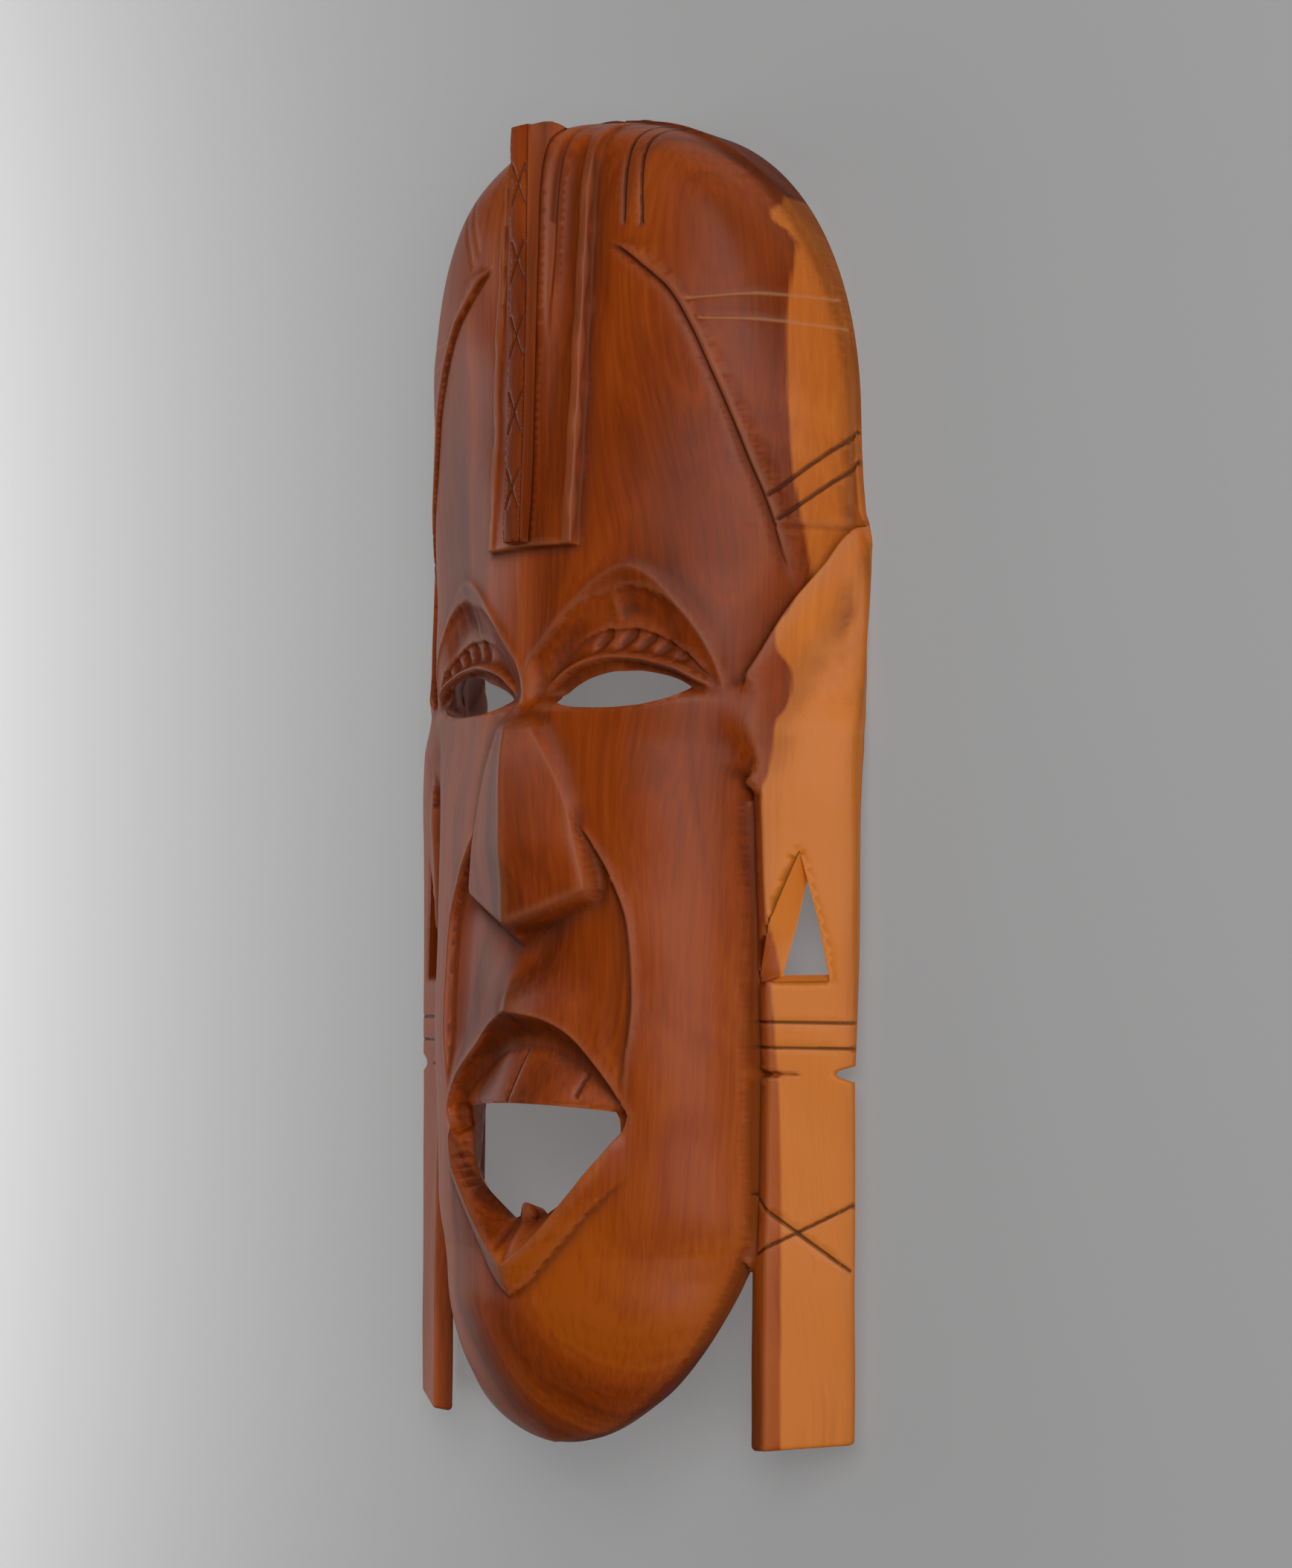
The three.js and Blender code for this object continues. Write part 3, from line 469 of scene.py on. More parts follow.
@dataclass(frozen=True)
class Eye:
    """An arched socket under a sharp brow, a lid with carved lashes, and a long open eye."""

    inner_x: float = 12.8
    outer_x: float = 62.4
    corner_y: float = 100.3
    outer_corner_y: float = 102.0
    lift: float = 2.6
    splay: tuple[float, float] = (1.42, 1.5)
    inner_depth: float = 2.4
    middle_x: float = 36.0
    nick: float = 1.0
    under_lid: float = 2.6
    gouge_width: float = 3.1
    upper: Profile = Profile(((12.8, 100.2), (18.5, 104), (26, 107), (35, 108.8), (42, 108.8), (50, 107.5),
                              (57, 105.3), (62.4, 102)))
    lower: Profile = Profile(((12.8, 100.2), (14.6, 97.2), (25, 95.2), (36, 94.8), (46, 95.4), (54.5, 97.2),
                              (60, 99.6), (62.4, 102)))
    depth: float = 3.2
    back: float = 2.6
    brim: float = 0.7
    shelf: float = 7.0
    lid_rise: float = 2.4
    lash_step: float = 1.0
    gouge_depth: float = 1.7
    brow: Profile = Profile(((-1, 99), (0.6, 107), (4, 114), (8.4, 119.2), (14.6, 126.6), (22.2, 135),
                             (29.3, 142), (36, 146.3), (40.8, 147.6), (46.8, 145.3), (53.5, 139.4),
                             (60, 131.4), (66.6, 121.6), (70.8, 112), (73, 103.5), (74.5, 99)))
    lid: Profile = Profile(((6, 101.5), (9.7, 104), (17.6, 109.9), (26.1, 113), (34.8, 114.3), (43.8, 113.5),
                            (50.4, 112), (59, 109), (65.7, 105.1), (72, 101.4)))
    lash: Profile = Profile(((5, 103), (7.6, 107.2), (14.2, 114.4), (22.8, 121.2), (32.4, 124.6),
                             (40.8, 124.9), (48.8, 122.6), (55.8, 118.8), (62.5, 113.8), (70, 105.1),
                             (73, 102)))
    teeth: tuple[tuple[float, float, float, float], ...] = (
        (32.6, 124.8, 27.0, 116.6), (41.8, 124.6, 35.4, 117.0), (48.9, 122.6, 43.0, 116.4),
        (55.6, 119.2, 49.8, 114.4), (61.6, 114.8, 57.4, 111.4))

    def opening(self, side: Side) -> np.ndarray:
        """The closed edge of the opening; the left eye is open a little higher outside.

        Args:
            side: Which of the two eyes.

        Returns:
            Points round the opening.
        """
        x = self.inner_x + (self.outer_x - self.inner_x) * (1 - np.cos(np.linspace(0, math.pi, 120))) / 2
        low = np.stack([x, self.lower(x)], axis=1)
        high = np.stack([x, self.upper(x)], axis=1)[::-1]
        if side is Side.LEFT:
            high[:, 1] += self.lift * smooth(26.0, 44.0, high[:, 0]) * smooth(self.outer_x, 54.0, high[:, 0])
        return resampled(np.vstack([low, high[1:-1]]), 0.8, closed=True)

    def rear(self, edge: np.ndarray) -> np.ndarray:
        """Splay the opening's edge for the back."""
        centre = np.array([self.middle_x, self.corner_y + 1.0])
        return centre + (edge - centre) * self.splay

    def shape(self, z: np.ndarray, ax: np.ndarray, y: np.ndarray, x: np.ndarray) -> np.ndarray:
        """Cut the socket, the lash line and the lid.

        Args:
            z: Heights so far.
            ax: Distances from the middle line.
            y: Places along.
            x: Places across; not used.

        Returns:
            The new heights.
        """
        below = self.brow.inside(y, ax)
        floor_y = mixed(self.corner_y, self.outer_corner_y, smooth(10, 66, ax))
        held = smooth(floor_y - 5.5, floor_y + 1.5, y) * smooth(-1.0, 6.0, ax) * smooth(75.5, 71.0, ax)
        brim = self.brim * np.exp(-((np.minimum(below, 0.0) / 2.2) ** 2)) * smooth(102, 112, y)
        shelf = self.shelf * np.exp(-(((ax - 39.0) / 12.0) ** 2))
        past = np.maximum(below - shelf, 0.0)
        wall = 1.0 - np.exp(-past / 1.9)
        bowl = self.back * smooth(1.5, 10.0, past) * smooth(floor_y, 122, y)
        nick = self.nick * np.exp(-(((ax - self.middle_x) / 1.1) ** 2))
        nick = nick * smooth(126, 130, y) * smooth(141, 136, y)
        cut = self.depth * wall + bowl - nick + 0.22 * np.clip(below, 0.0, shelf)
        cut = cut * smooth(-0.3, 0.3, below)
        cut = cut * mixed(1.0, 0.6, smooth(52.0, 66.0, ax))
        near = np.exp(-(((ax - 14.0) / 11.0) ** 2)) * smooth(1.0, 7.0, ax) * smooth(0.0, 8.0, below)
        cut = cut + self.inner_depth * near
        over_lid = self.lid.inside(y, ax)
        reach = smooth(6, 14, ax) * smooth(72, 64, ax)
        rim = self.lid_rise * np.exp(-((over_lid / 1.4) ** 2)) * reach
        edge = self.upper(ax)
        under = self.under_lid * smooth(0.6, 3.2, over_lid) * smooth(edge - 5.0, edge - 1.0, y) * reach
        lash = self.lash.inside(y, ax)
        band = smooth(-0.35, 0.45, lash) * smooth(-0.8, -2.6, over_lid) * reach
        z = z + brim - cut * held
        z = z - self.lash_step * band * mixed(1.0, 0.45, smooth(30, 20, ax)) * held
        z = z + (rim - under) * held
        for x0, y0, x1, y1 in self.teeth:
            z = z - self._gouge(ax, y, (x0, y0), (x1, y1)) * held * smooth(0.8, -0.8, over_lid)
        return z

    def _gouge(self, ax: np.ndarray, y: np.ndarray, top: tuple[float, float],
               foot: tuple[float, float]) -> np.ndarray:
        """Depth of one leaf-shaped gouge: round above, pointed below, steep on its outer side.

        Args:
            ax: Distances from the middle line.
            y: Places along.
            top: Its upper end.
            foot: Its pointed lower end.

        Returns:
            Depths.
        """
        run = np.array([foot[0] - top[0], foot[1] - top[1]])
        length = math.hypot(*run)
        ux, uy = run / length
        along = np.clip(((ax - top[0]) * ux + (y - top[1]) * uy) / length, -0.2, 1.2)
        across = -(ax - top[0]) * uy + (y - top[1]) * ux
        taper = (along - 0.33) / np.where(along < 0.33, 0.36, 0.75)
        width = self.gouge_width * np.sqrt(np.clip(1.0 - taper**2, 0.0, 1.0))
        side = np.where(across < 0, across / (0.42 * width + 1e-3), across / (width + 1e-3))
        lobe = np.clip(1.0 - side**2, 0.0, 1.0) * (width > 0.05)
        return self.gouge_depth * lobe * np.clip(width / self.gouge_width, 0.0, 1.0)

    def guides(self) -> list[Guide]:
        """Lines of the brow, the lash line, the lid and the gouges.

        Returns:
            The guides.
        """
        found = [
            Guide(self.brow.points(-0.5, 74.0, 1.1, upright=False), (0.0, -0.45, 0.45, -1.0, 1.0, -2.0, 2.0)),
            Guide(self.lid.points(6.5, 71.5, 1.1, upright=False), (0.0, -0.6, 0.6, -1.3, 1.3, -2.1, 2.1)),
            Guide(self.lash.points(8.0, 70.0, 1.1, upright=False), (0.0, -0.5, 0.5, -1.2)),
        ]
        for x0, y0, x1, y1 in self.teeth:
            found.append(Guide(resampled(np.array([[x0, y0], [x1, y1]]), 1.0), (0.0, -0.5, 0.5, 1.2, 2.2)))
        return found


@dataclass(frozen=True)
class Cheeks:
    """The ground between the cheek ridges, low beside the nose and drawn up to the point of the lip."""

    low_y: float = -58.0
    high_y: float = 53.0
    depth: float = 5.6
    wall: float = 2.0
    lip_rise: float = 0.6
    pinch_depth: float = 1.8
    pinch_at: tuple[float, float] = (31.0, 30.0)
    ridge: Profile = Profile(((-58, 46.4), (-49, 45.5), (-16, 47.5), (0, 46.9), (14, 45.3), (31, 39),
                              (43, 32), (53, 25)))

    def shape(self, z: np.ndarray, ax: np.ndarray, y: np.ndarray, x: np.ndarray) -> np.ndarray:
        """Cut the ground and leave the ridges sharp.

        Args:
            z: Heights so far.
            ax: Distances from the middle line.
            y: Places along.
            x: Places across; not used.

        Returns:
            The new heights.
        """
        inside = self.ridge.inside(ax, y)
        ends = smooth(self.high_y + 1.0, self.high_y - 13.0, y) * smooth(-57, -25, y)
        wall = smooth(-0.2, self.wall, inside) * 0.62 + smooth(0.0, 11.0, inside) * 0.38
        fill = 1.0 - 0.75 * smooth(30, 6, ax) * smooth(14, -19, y)
        brim = self.lip_rise * np.exp(-((np.minimum(inside, 0.0) / 2.0) ** 2)) * ends
        pinch_x, pinch_y = self.pinch_at
        pinch = self.pinch_depth * np.exp(-(((ax - pinch_x) / 4.5) ** 2) - (((y - pinch_y) / 9.0) ** 2))
        return z - (self.depth * wall * fill + pinch * smooth(0, 2, inside)) * ends + brim * (inside < 0)

    def guides(self) -> list[Guide]:
        """The cheek ridges."""
        line = self.ridge.points(self.low_y + 1, self.high_y, 1.1, upright=True)
        return [Guide(line, (0.0, -0.45, 0.45, -1.0, 1.0, -2.0, 2.0))]


@dataclass(frozen=True)
class Nose:
    """A long wedge of a nose with a sharp ridge, flat flanks and a cut-away base."""

    top_y: float = 96.0
    tip_y: float = 14.0
    wing_x: float = 29.2
    wing_y: float = 26.3
    under_slope: float = 1.7
    edge_wear: float = 0.35
    ridge: Profile = Profile(((14, 84.3), (27, 84.8), (47, 86.8), (70, 86.4), (88, 83.7), (97, 76)))
    slope: Profile = Profile(((14, 0.42), (26, 0.43), (39, 0.48), (68, 0.61), (88, 0.7)))
    flank: Profile = Profile(((14, 29.4), (26.3, 29.2), (39, 27), (50, 24.6), (68, 18.6), (80, 12.6), (88, 8),
                              (94, 3.4), (97, 1)))

    def base_y(self, ax: np.ndarray) -> np.ndarray:
        """The base edge, from the tip up to a wing."""
        return self.tip_y + (self.wing_y - self.tip_y) * ax / self.wing_x

    def shape(self, z: np.ndarray, ax: np.ndarray, y: np.ndarray, x: np.ndarray) -> np.ndarray:
        """Raise the nose out of the ground.

        Args:
            z: Heights so far.
            ax: Distances from the middle line.
            y: Places along.
            x: Places across; not used.

        Returns:
            The new heights.
        """
        rounded = np.sqrt(ax**2 + 0.7**2) - 0.5
        front = self.ridge(y) - self.slope(y) * rounded
        inside = self.flank.inside(ax, y)
        base = (y - self.base_y(ax)) / math.hypot(1.0, (self.wing_y - self.tip_y) / self.wing_x)
        crisp = smooth(62.0, 44.0, y)
        steep = mixed(0.55, 2.6, crisp)
        fall = steep * np.maximum(-inside, 0.0) + self.under_slope * np.maximum(-base, 0.0) ** 0.98
        corner = self.edge_wear * np.exp(-((inside / 0.8) ** 2)) * crisp
        corner = corner + self.edge_wear * np.exp(-((base / 0.8) ** 2))
        nose = front - fall - corner
        top = smooth(self.top_y + 3.0, self.top_y - 9.0, y)
        return mixed(z, soft_max(z, nose, mixed(3.0, 0.8, crisp)), top * smooth(45, 38, ax))

    def guides(self) -> list[Guide]:
        """The ridge, the flank edges and the base edges.

        Returns:
            The guides.
        """
        ridge = resampled(np.array([[0.0, self.tip_y], [0.0, self.top_y]]), 1.1)
        flank = self.flank.points(self.wing_y, 94.0, 1.1, upright=True)
        base = resampled(np.array([[0.0, self.tip_y], [self.wing_x, self.wing_y]]), 1.1)
        foot = base - [0.0, 5.5]
        return [Guide(ridge, (0.0, -0.5, 0.5, -1.2, 1.2), both_sides=False),
                Guide(flank, (0.0, -0.45, 0.45, -1.0, 1.0, -2.0, 2.0)),
                Guide(base, (0.0, -0.5, 0.5, -1.1, 1.1, -2.2)), Guide(foot, (0.0,))]


@dataclass(frozen=True)
class Mouth:
    """The arched upper lip over its hollow, the V-shaped lower rim, and the opening with the tongue."""

    corner_x: float = 46.3
    top_y: float = -54.0
    hole_x: float = 38.6
    splay: Profile = Profile(((-98, 3), (-85, 9), (-73, 15), (-61, 19)))
    tongue_x: float = 2.6
    tongue_half: float = 4.2
    tongue_y: float = -91.5
    tongue_round: float = 5.0
    tongue_rise: float = 2.2
    tongue_groove: float = 1.2
    point_drop: float = 3.0
    edge_bow: float = 3.0
    least_bevel: float = 1.2
    hollow: float = 8.8
    swell: float = 5.2
    peak: float = 6.4
    rim: float = 1.4
    lower_rim: float = 5.4
    bevel: float = 13.0
    arch: Profile = Profile(((0, -19), (10, -21.2), (19, -25.6), (29, -34.5), (40, -46.5), (46.3, -57)))
    lip: Profile = Profile(((0, -32.9), (9.7, -33.9), (19.5, -38.7), (27, -43.5), (38.9, -52.8), (46.3, -58)))
    lower: Profile = Profile(((0, -115), (10.3, -107), (23, -93), (35.6, -77), (43.5, -64.5), (46.3, -57)))
    outer: Profile = Profile(((0, -126.7), (8, -121), (19, -109), (32.5, -93.5), (46, -80)))
    side: Profile = Profile(((0, -99), (12, -95.2), (19, -92), (28, -86), (33.8, -80), (38.6, -65),
                             (39.5, -56.5)))
    hole: Profile = Profile(((-98.4, 6.8), (-95.2, 11), (-92, 16), (-86, 26.8), (-80, 32.1), (-75, 35.3),
                             (-69.5, 36.7), (-65, 37.3), (-60, 37.6), (-57, 36.8)))

    def edge_y(self, ax: np.ndarray) -> np.ndarray:
        """Upper edge of the opening, the lower edge of the upper lip."""
        return self.top_y - self.edge_bow * (ax / self.hole_x) ** 2

    def opening(self) -> np.ndarray:
        """The closed edge of the opening, counter-clockwise, with the tongue standing in it.

        Returns:
            Points round the opening.
        """
        up = self.hole.points(self.hole.stations[0][0], self.hole.stations[-1][0], 1.0, upright=True)
        x = np.linspace(up[-1, 0], -up[-1, 0], 60)
        top = np.stack([x, self.edge_y(np.abs(x))], axis=1)
        centre = (self.tongue_x, self.tongue_y - self.tongue_round)
        tongue = np.array(arc(centre, (self.tongue_half, self.tongue_round), 180, 0, 20))
        return resampled(np.vstack([top, mirrored(up), tongue, up]), 0.9, closed=True)

    def rear(self, edge: np.ndarray) -> np.ndarray:
        """Splay the opening's edge for the back: wider on both sides, and lower at the point.

        Args:
            edge: The edge in front, as rows of x and y.

        Returns:
            The same points at the back.
        """
        x, y = edge.T
        wider = self.splay(y) * smooth(self.tongue_half + 0.5, 24.0, np.abs(x))
        return np.stack([x + np.sign(x) * wider, y - self.point_drop * smooth(-80.0, -96.0, y)], axis=1)

    def shape(self, z: np.ndarray, ax: np.ndarray, y: np.ndarray, x: np.ndarray) -> np.ndarray:
        """Shape both lips.

        Args:
            z: Heights so far.
            ax: Distances from the middle line.
            y: Places along.
            x: Places across.

        Returns:
            The new heights.
        """
        over = -self.arch.inside(y, ax)
        draw = self.peak * np.exp(-((ax / 8.0) ** 2))
        brim = self.rim * smooth(46, 34, ax)
        ground = draw * smooth(26, 0, over) + brim * smooth(20, 0, over)
        above = smooth(-58, -50, y) * smooth(52, 46, ax)
        z = z + ground * (over >= 0) * above
        under = np.maximum(-over, 0.0)
        room = np.maximum(self.arch(ax) - self.lip(ax), 2.0)
        t = np.clip((self.arch(ax) - y) / room, 0.0, 1.0)
        drop = self.hollow * np.sin(0.5 * math.pi * t) ** 0.8
        body = np.clip((self.lip(ax) - y) / np.maximum(self.lip(ax) - self.edge_y(ax), 1.0), 0.0, 1.0)
        drop = drop - self.swell * (body**0.75) * smooth(42, 8, ax)
        lip = draw * smooth(9, 0, under) + brim - drop * smooth(47.5, 40, ax)
        z = z + lip * (over < 0) * smooth(-69.0, -57.5, y) * (ax < 47)
        return self._lower(z, ax, y, x)

    def _lower(self, z: np.ndarray, ax: np.ndarray, y: np.ndarray, x: np.ndarray) -> np.ndarray:
        """Raise the lower rim and slope it in to the opening and down to the chin.

        Args:
            z: Heights so far.
            ax: Distances from the middle line.
            y: Places along.
            x: Places across.

        Returns:
            The new heights.
        """
        rim_y = self.lower(ax)
        rise = self.lower_rim * smooth(49, 32, ax)
        width = np.maximum(rim_y - self.outer(ax), 1.0)
        down = (rim_y - y) / width
        outer = rise * np.clip(1.0 - down, 0.0, 1.0) * 0.78 + 0.22 * rise * smooth(1.06, 0.97, down)
        reach = np.maximum(self.side(np.minimum(ax, self.hole_x)) - rim_y, self.least_bevel)
        corner = 1.0 - 0.55 * smooth(-67.0, -58.0, y)
        inner = rise - self.bevel * np.clip((y - rim_y) / reach, 0.0, 1.0) * smooth(47, 42, ax) * corner
        lower = np.where(y > rim_y, inner, outer)
        middle = self.tongue_x * smooth(-116.0, -98.0, y)
        tongue = self.tongue_rise * np.exp(-(((x - middle) / 3.6) ** 2)) * smooth(-114, -102, y)
        groove = self.tongue_groove * np.exp(-(((x - middle + 6.5) / 1.6) ** 2)) * smooth(-114, -106, y)
        tongue = tongue - groove
        lower = lower + tongue * (y > rim_y)
        return z + lower * smooth(-54.5, -58, y) * smooth(50, 46, ax)

    def guides(self) -> list[Guide]:
        """Lines of the arch, the lip, the lower rim and its outer edge.

        Returns:
            The guides.
        """
        wide = (0.0, -0.45, 0.45, -1.0, 1.0, -2.0, 2.0)
        return [
            Guide(self.arch.points(0.0, self.corner_x, 1.1, upright=False), wide),
            Guide(self.lip.points(0.0, self.corner_x - 2, 1.1, upright=False), (0.0, -0.6, 0.6)),
            Guide(self.lower.points(0.0, self.corner_x, 1.1, upright=False), wide),
            Guide(self.outer.points(0.0, 44.0, 1.1, upright=False), (0.0, -0.5, 0.5, -1.2, 1.2)),
        ]


@dataclass(frozen=True)
class Ear:
    """A hanging ear: a sloping board with a leaf-shaped root, a slot, a notch and a drooping end."""

    outer_x: float = 111.3
    top_y: float = 163.0
    root_y: float = 110.0
    bottom_inner_y: float = -183.0
    bottom_outer_y: float = -180.0
    ridge_x: float = 85.0
    inner_x: float = 77.2
    bevel: float = 0.28
    thickness: float = 6.0
    inner_undercut: float = 5.0
    hollow: float = 3.0
    lip: float = 1.5
    dip: float = 3.6
    dip_reach: float = 14.0
    gap_y: float = -113.2
    notch_y: float = -42.3
    notch_half: float = 3.2
    notch_depth: float = 6.5
    notch_fade_x: float = 95.0
    inner_notch: float = 3.4
    line_depth: float = 1.5
    edge: Profile = Profile(((-180, 13.2), (-42, 12.5), (12, 12.3), (48, 12.3), (66, 12.8), (84, 12.0),
                             (102, 7.2), (120, 5.4), (163, 4)))
    undercut: Profile = Profile(((-60, 3.0), (12, 1.2), (48, 1.0), (75, 0.2), (90, 1.6), (100, 3.0),
                                 (116, 3.2), (134, 1.8), (150, 0.8), (158, 0)))
    slope: Profile = Profile(((-180, 0.77), (-125, 0.765), (-50, 0.69), (0, 0.74), (72, 0.9), (105, 1.06),
                              (163, 1.06)))
    crease: Profile = Profile(((56, 79.4), (60, 79.2), (85, 76.5), (101, 78.7), (115, 84), (133, 91.5),
                               (148, 100), (161, 107.2), (163, 111)))
    fold: Profile = Profile(((50, 86.5), (70, 87.5), (93, 91.6), (114, 97.9), (129, 105.8), (133, 108)))

    def board(self, ax: np.ndarray, y: np.ndarray) -> np.ndarray:
        """Height of the ear's own surface.

        Args:
            ax: Distances from the middle line.
            y: Places along.

        Returns:
            Heights.
        """
        joined = smooth(62, 74, y)
        board = self.edge(y) + self.slope(y) * (self.outer_x - np.maximum(ax, self.ridge_x - 25 * joined))
        bevel = self.bevel * np.maximum(self.ridge_x - ax, 0.0) * (1.0 - joined)
        dish = self.hollow * np.exp(-(((ax - self.fold(y)) / 7.5) ** 2))
        dish = dish * smooth(52, 82, y) * smooth(146, 128, y)
        past = -self.crease.inside(ax, y)
        lip = self.lip * smooth(96, 106, y) * smooth(11.0, 0.5, past) * smooth(-0.2, 1.2, past)
        return board - bevel - dish * smooth(self.outer_x, 104, ax) + lip

    def shape(self, z: np.ndarray, ax: np.ndarray, y: np.ndarray, x: np.ndarray) -> np.ndarray:
        """Dip the head towards the crease and lay the ear over it.

        Args:
            z: Heights so far.
            ax: Distances from the middle line.
            y: Places along.
            x: Places across; not used.

        Returns:
            The new heights.
        """
        past = -self.crease.inside(ax, y)
        gap = np.clip(-past / self.dip_reach, 0.0, 1.0)
        rooted = smooth(94, 114, y) * smooth(170, 158, y)
        z = z - self.dip * (1.0 - gap) ** 1.5 * rooted * (past < 2.5)
        board = self.board(ax, y)
        merged = smooth(108, 97, y) * smooth(64, 74, y)
        reach = 0.45 + 7.5 * merged
        joint = smooth(-reach, reach, past) * (y >= 60) * (y < self.top_y + 2)
        valley = soft_max(z, board, 0.5)
        upper = mixed(np.maximum(board, z), valley, smooth(84, 70, y))
        z = mixed(z, upper, joint)
        lower = mixed(valley, board, smooth(HEAD.jaw_half - 0.5, HEAD.jaw_half + 0.3, ax))
        z = np.where((ax > self.inner_x - 1.0) * (y < 60), lower, z)
        apart = (ax > HEAD.width_at(y)) * (ax > self.inner_x - 0.05) * (y < HEAD.jaw_y)
        z = np.where(apart, board, z)
        line = -(HEAD.jaw_half - 0.4 - ax)
        deep = self.line_depth * np.exp(-((line / 0.8) ** 2)) * smooth(72, 62, y) * (y > self.gap_y + 2)
        notch_half = 2.6 * np.clip((self.notch_fade_x - ax) / 18.0, 0.05, 1.0)
        cut = np.clip(1.0 - np.abs(y - self.notch_y) / notch_half, 0.0, 1.0)
        cut = self.inner_notch * cut * smooth(self.notch_fade_x, self.notch_fade_x - 5.0, ax)
        return z - deep - cut * (ax > self.inner_x + 1.0) * (ax < self.notch_fade_x)

    def slot(self, back: bool) -> np.ndarray:
        """The triangular slot's edge: wide where it was carved in front, narrower where it opens through.

        Args:
            back: True for the narrower edge.

        Returns:
            Corners counter-clockwise.
        """
        if back:
            corners = ((87.0, -5.4), (101.4, -5.2), (99.0, 12.0), (95.6, 34.0), (91.2, 12.0))
        else:
            corners = ((79.4, -8.0), (103.4, -7.6), (100.5, 14.0), (95.0, 41.0), (85.4, 14.0))
        return np.array(corners, float)

    def under(self, ax: np.ndarray, y: np.ndarray) -> np.ndarray:
        """Height of the ear's underside, which keeps one thickness below its front."""
        slope = self.slope(y) * (self.outer_x - np.maximum(ax, self.ridge_x))
        return np.maximum(self.edge(y) - self.thickness, 0.0) + slope

    def rear(self, outline: np.ndarray) -> np.ndarray:
        """Draw the back's outline: the ears' long edges are cut under, square to their sloping front.

        Args:
            outline: The front's outline as rows of x and y.

        Returns:
            The same points moved in under the ears.
        """
        ax = np.abs(outline[:, 0])
        y = outline[:, 1]
        outer = self.undercut(y) * smooth(96.0, 108.0, ax)
        inner = self.inner_undercut * smooth(86.0, self.inner_x + 0.5, ax)
        inner = inner * smooth(self.gap_y + 1.0, self.gap_y - 12.0, y)
        inner = inner * (ax > self.inner_x - 0.05)
        return np.stack([np.sign(outline[:, 0]) * (ax - outer + inner), y], axis=1)

    def guides(self) -> list[Guide]:
        """Lines of the crease, the valley by the cheek, the ridge and the inner notch.

        Returns:
            The guides.
        """
        crease = self.crease.points(96.0, self.top_y - 1.0, 1.1, upright=True)
        ridge = resampled(np.array([[self.ridge_x, self.bottom_inner_y + 2], [self.ridge_x, 72.0]]), 1.3)
        valley_x = HEAD.jaw_half - 0.4
        valley = resampled(np.array([[valley_x, -108.0], [valley_x, 70.0]]), 1.2)
        notch = resampled(np.array([[self.inner_x + 2, self.notch_y], [94.5, self.notch_y]]), 1.0)
        return [Guide(crease, (0.0, -0.45, 0.45, -1.1, 1.1, -2.2, 2.2)),
                Guide(ridge, (0.0, -0.8, 0.8)), Guide(valley, (0.0, -0.5, 0.5, -1.2, 1.2)),
                Guide(notch, (0.0, -0.8, 0.8, -1.6, 1.6, -2.6, 2.6))]


@dataclass(frozen=True)
class Stroke:
    """One line cut with a knife or gouge."""

    path: tuple[tuple[float, float], ...]
    depth: float = 0.9
    half: float = 0.75
    sides: tuple[Side, ...] = (Side.RIGHT, Side.LEFT)
    # Above 0 the line gets painted shade; below 0 the pale colour of raw cut wood.
    tone: float = 1.0

    def distance(self, x: np.ndarray, y: np.ndarray) -> np.ndarray:
        """Distance from points to the line.

        Args:
            x: Places across.
            y: Places along.

        Returns:
            The distance of each point.
        """
        best = np.full(x.shape, 1e3)
        for (x0, y0), (x1, y1) in zip(self.path, self.path[1:]):
            run = np.array([x1 - x0, y1 - y0])
            t = np.clip(((x - x0) * run[0] + (y - y0) * run[1]) / (run @ run), 0.0, 1.0)
            best = np.minimum(best, np.hypot(x - x0 - t * run[0], y - y0 - t * run[1]))
        return best

    def cut(self, z: np.ndarray, x: np.ndarray, y: np.ndarray) -> np.ndarray:
        """Cut the line into the height.

        Args:
            z: Heights so far.
            x: Places across.
            y: Places along.

        Returns:
            The new heights.
        """
        for side in self.sides:
            gap = self.distance(x * side.value, y)
            z = z - self.depth * np.clip(1.0 - gap / self.half, 0.0, 1.0) ** 1.2
        return z

    def shade(self, x: np.ndarray, y: np.ndarray) -> np.ndarray:
        """Tell how much painted shade (above 0) or pale raw wood (below 0) the line gives.

        Args:
            x: Places across.
            y: Places along.

        Returns:
            A tone for each point.
        """
        total = np.zeros_like(x)
        for side in self.sides:
            gap = self.distance(x * side.value, y)
            total += self.tone * np.clip(1.25 - gap / (0.9 * self.half), 0.0, 1.0)
        return total

    def guides(self) -> list[Guide]:
        """Rows of points along the line.

        Returns:
            The guides.
        """
        line = resampled(np.array(self.path, float), 1.0)
        return [Guide(line * [side.value, 1.0], (0.0, -0.45, 0.45, -0.95, 0.95), both_sides=False)
                for side in self.sides]


